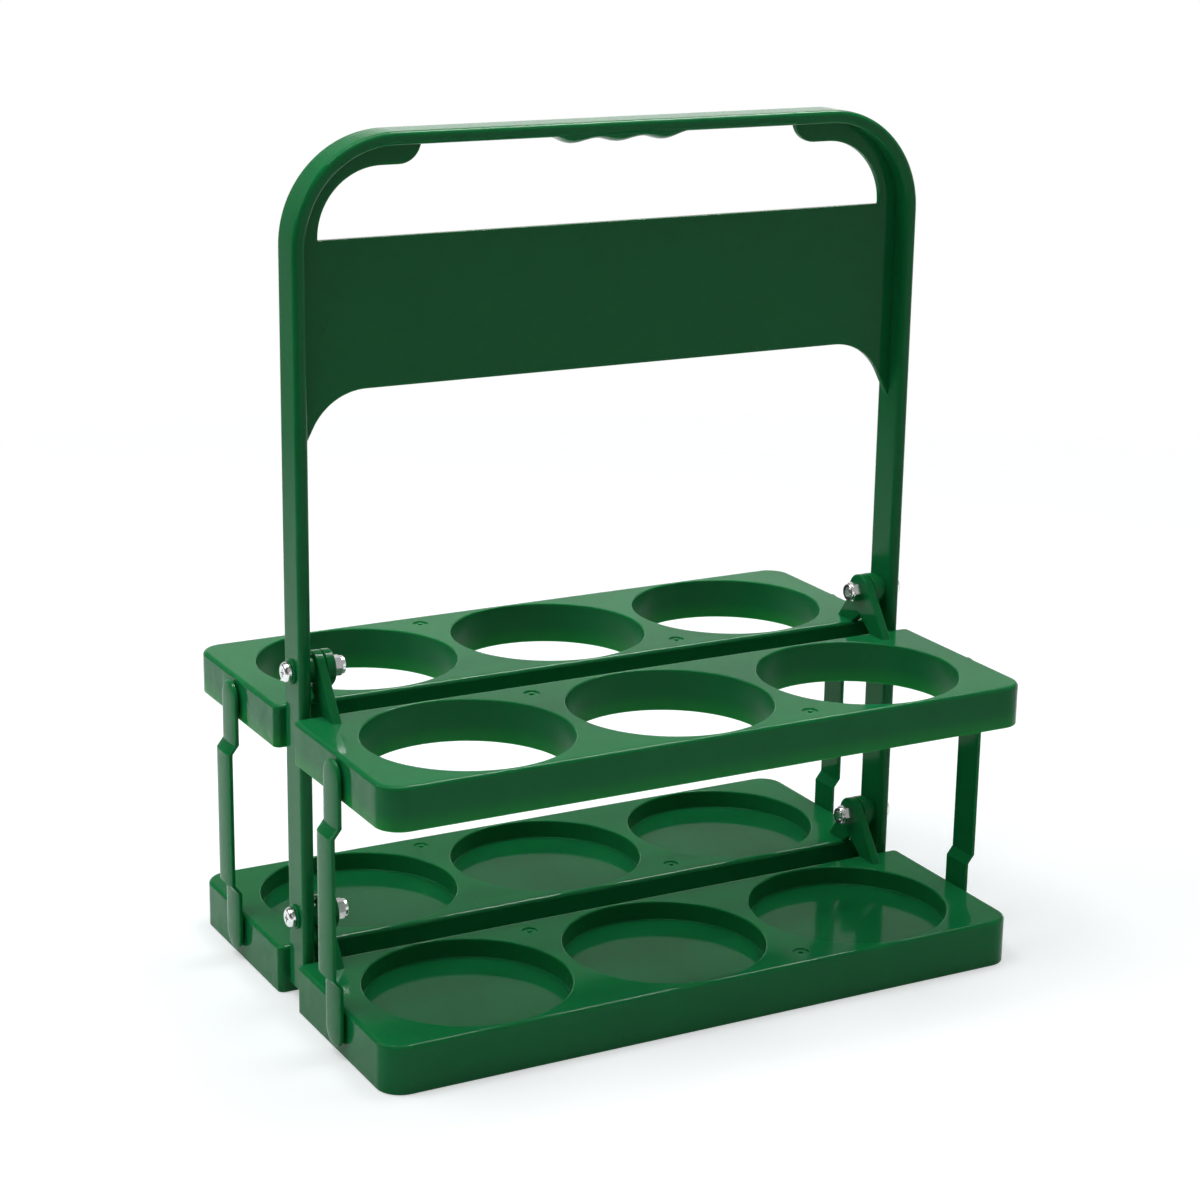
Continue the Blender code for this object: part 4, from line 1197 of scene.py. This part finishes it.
def bolt_head():
    """The head and the plain shank, up to where the thread starts."""
    rise = HEAD_HEIGHT - HEAD_RIM
    shrink = HEAD_RADIUS - HEAD_FACE_RADIUS
    dome = [(HEAD_X + HEAD_RIM + rise * b, HEAD_FACE_RADIUS + shrink * a)
            for a, b in arc((0, 0), 1, 0, 90, 10)]
    profile = [(THREAD_END_X, BOLT_RADIUS), (HEAD_X, BOLT_RADIUS), (HEAD_X, HEAD_RADIUS - HEAD_CHAMFER),
               (HEAD_X + HEAD_CHAMFER, HEAD_RADIUS), *dome]
    return combined(turned(profile, 48), [cross_recess()], "DIFFERENCE")


bolt_mesh = finished_mesh("bolt", combined(bolt_head(), [thread()], "UNION"), "zinc_plated_steel")
print("bolt has", len(bolt_mesh.polygons), "faces")

# %% [markdown]
# ## Nut and nylon insert
#
# The nut is a hexagon whose corners are turned away at both ends, with a round
# collar that is rolled over the nylon insert. Cutting the hexagon with a cone
# gives the curved edges that every nut has, which no bevel of a plain hexagon
# would.

# %% Nut and insert
NUT_FLATS = 8 * MM
NUT_OUTER_X = 133.4 * MM
NUT_HEX = 4.2 * MM
NUT_COLLAR = 1.6 * MM
COLLAR_OUTSIDE = 3.95 * MM
COLLAR_ROLL = 0.5 * MM
NUT_CHAMFER = 0.45 * MM
SEAT_RADIUS = 3.65 * MM
SEAT_DEPTH = 2.6 * MM
INSERT_RADII = (2.6 * MM, 3.6 * MM)
INSERT_ROUNDING = 0.25 * MM
INSERT_LENGTH = 2 * MM
INSERT_RECESS = 0.3 * MM


def lock_nut():
    """A lock nut with its collar pointing inwards."""
    hex_end = NUT_OUTER_X - NUT_HEX
    collar_end = hex_end - NUT_COLLAR
    corner = NUT_FLATS / math.sqrt(3)
    body = plate(arc((0, 0), corner, 0, 300, 5), hex_end, NUT_OUTER_X, "yz")
    cone = [(hex_end - CLEAR, corner - 2 * NUT_CHAMFER), (hex_end, corner - NUT_CHAMFER),
            (hex_end + NUT_CHAMFER, corner + CLEAR), (NUT_OUTER_X - NUT_CHAMFER, corner + CLEAR),
            (NUT_OUTER_X, corner - NUT_CHAMFER), (NUT_OUTER_X + CLEAR, corner - 2 * NUT_CHAMFER)]
    body = combined(body, [turned(cone, 72)], "INTERSECT")
    roll = [(collar_end + COLLAR_ROLL * (1 - b), COLLAR_OUTSIDE - COLLAR_ROLL * (1 - a))
            for a, b in arc((0, 0), 1, 90, 0, 5)]
    body = combined(body, [turned(roll + [(hex_end + CLEAR, COLLAR_OUTSIDE)], 48)], "UNION")
    seat_end = collar_end + SEAT_DEPTH
    hollow = [(collar_end - CLEAR, SEAT_RADIUS), (seat_end, SEAT_RADIUS), (seat_end, BOLT_HOLE),
              (NUT_OUTER_X + CLEAR, BOLT_HOLE)]
    return combined(body, [turned(hollow, 48)], "DIFFERENCE")


def nylon_insert():
    """The ring inside the collar, with its corners rounded."""
    low = NUT_OUTER_X - NUT_HEX - NUT_COLLAR + INSERT_RECESS
    high = low + INSERT_LENGTH
    inside, outside = INSERT_RADII
    soft = INSERT_ROUNDING
    profile = [(low, inside + soft), (low, outside - soft), (low + soft, outside), (high, outside),
               (high, inside), (low + soft, inside)]
    return turned(profile, 40, ring=True)


# %% Fasteners in place
nut_mesh = finished_mesh("lock_nut", lock_nut(), "zinc_plated_steel")
insert_mesh = finished_mesh("nylon_insert", nylon_insert(), "dark_nylon")
FASTENERS = (
    ("pan_head_bolt", bolt_mesh, "screw", "zinc_plated_steel"),
    ("lock_nut", nut_mesh, "nut", "zinc_plated_steel"),
    ("nylon_insert", insert_mesh, "nylon_ring", "dark_nylon"),
)
for level, bolt_z in BOLT_Z.items():
    for side in ("left", "right"):
        for piece_name, mesh, node, finish in FASTENERS:
            set_in_place(f"{piece_name}_{level}_{side}", mesh, (0, 0, bolt_z), side == "left",
                         "frame", f"{node}_{level}_{side}")
print("nut has", len(nut_mesh.polygons), "faces and its ring", len(insert_mesh.polygons))
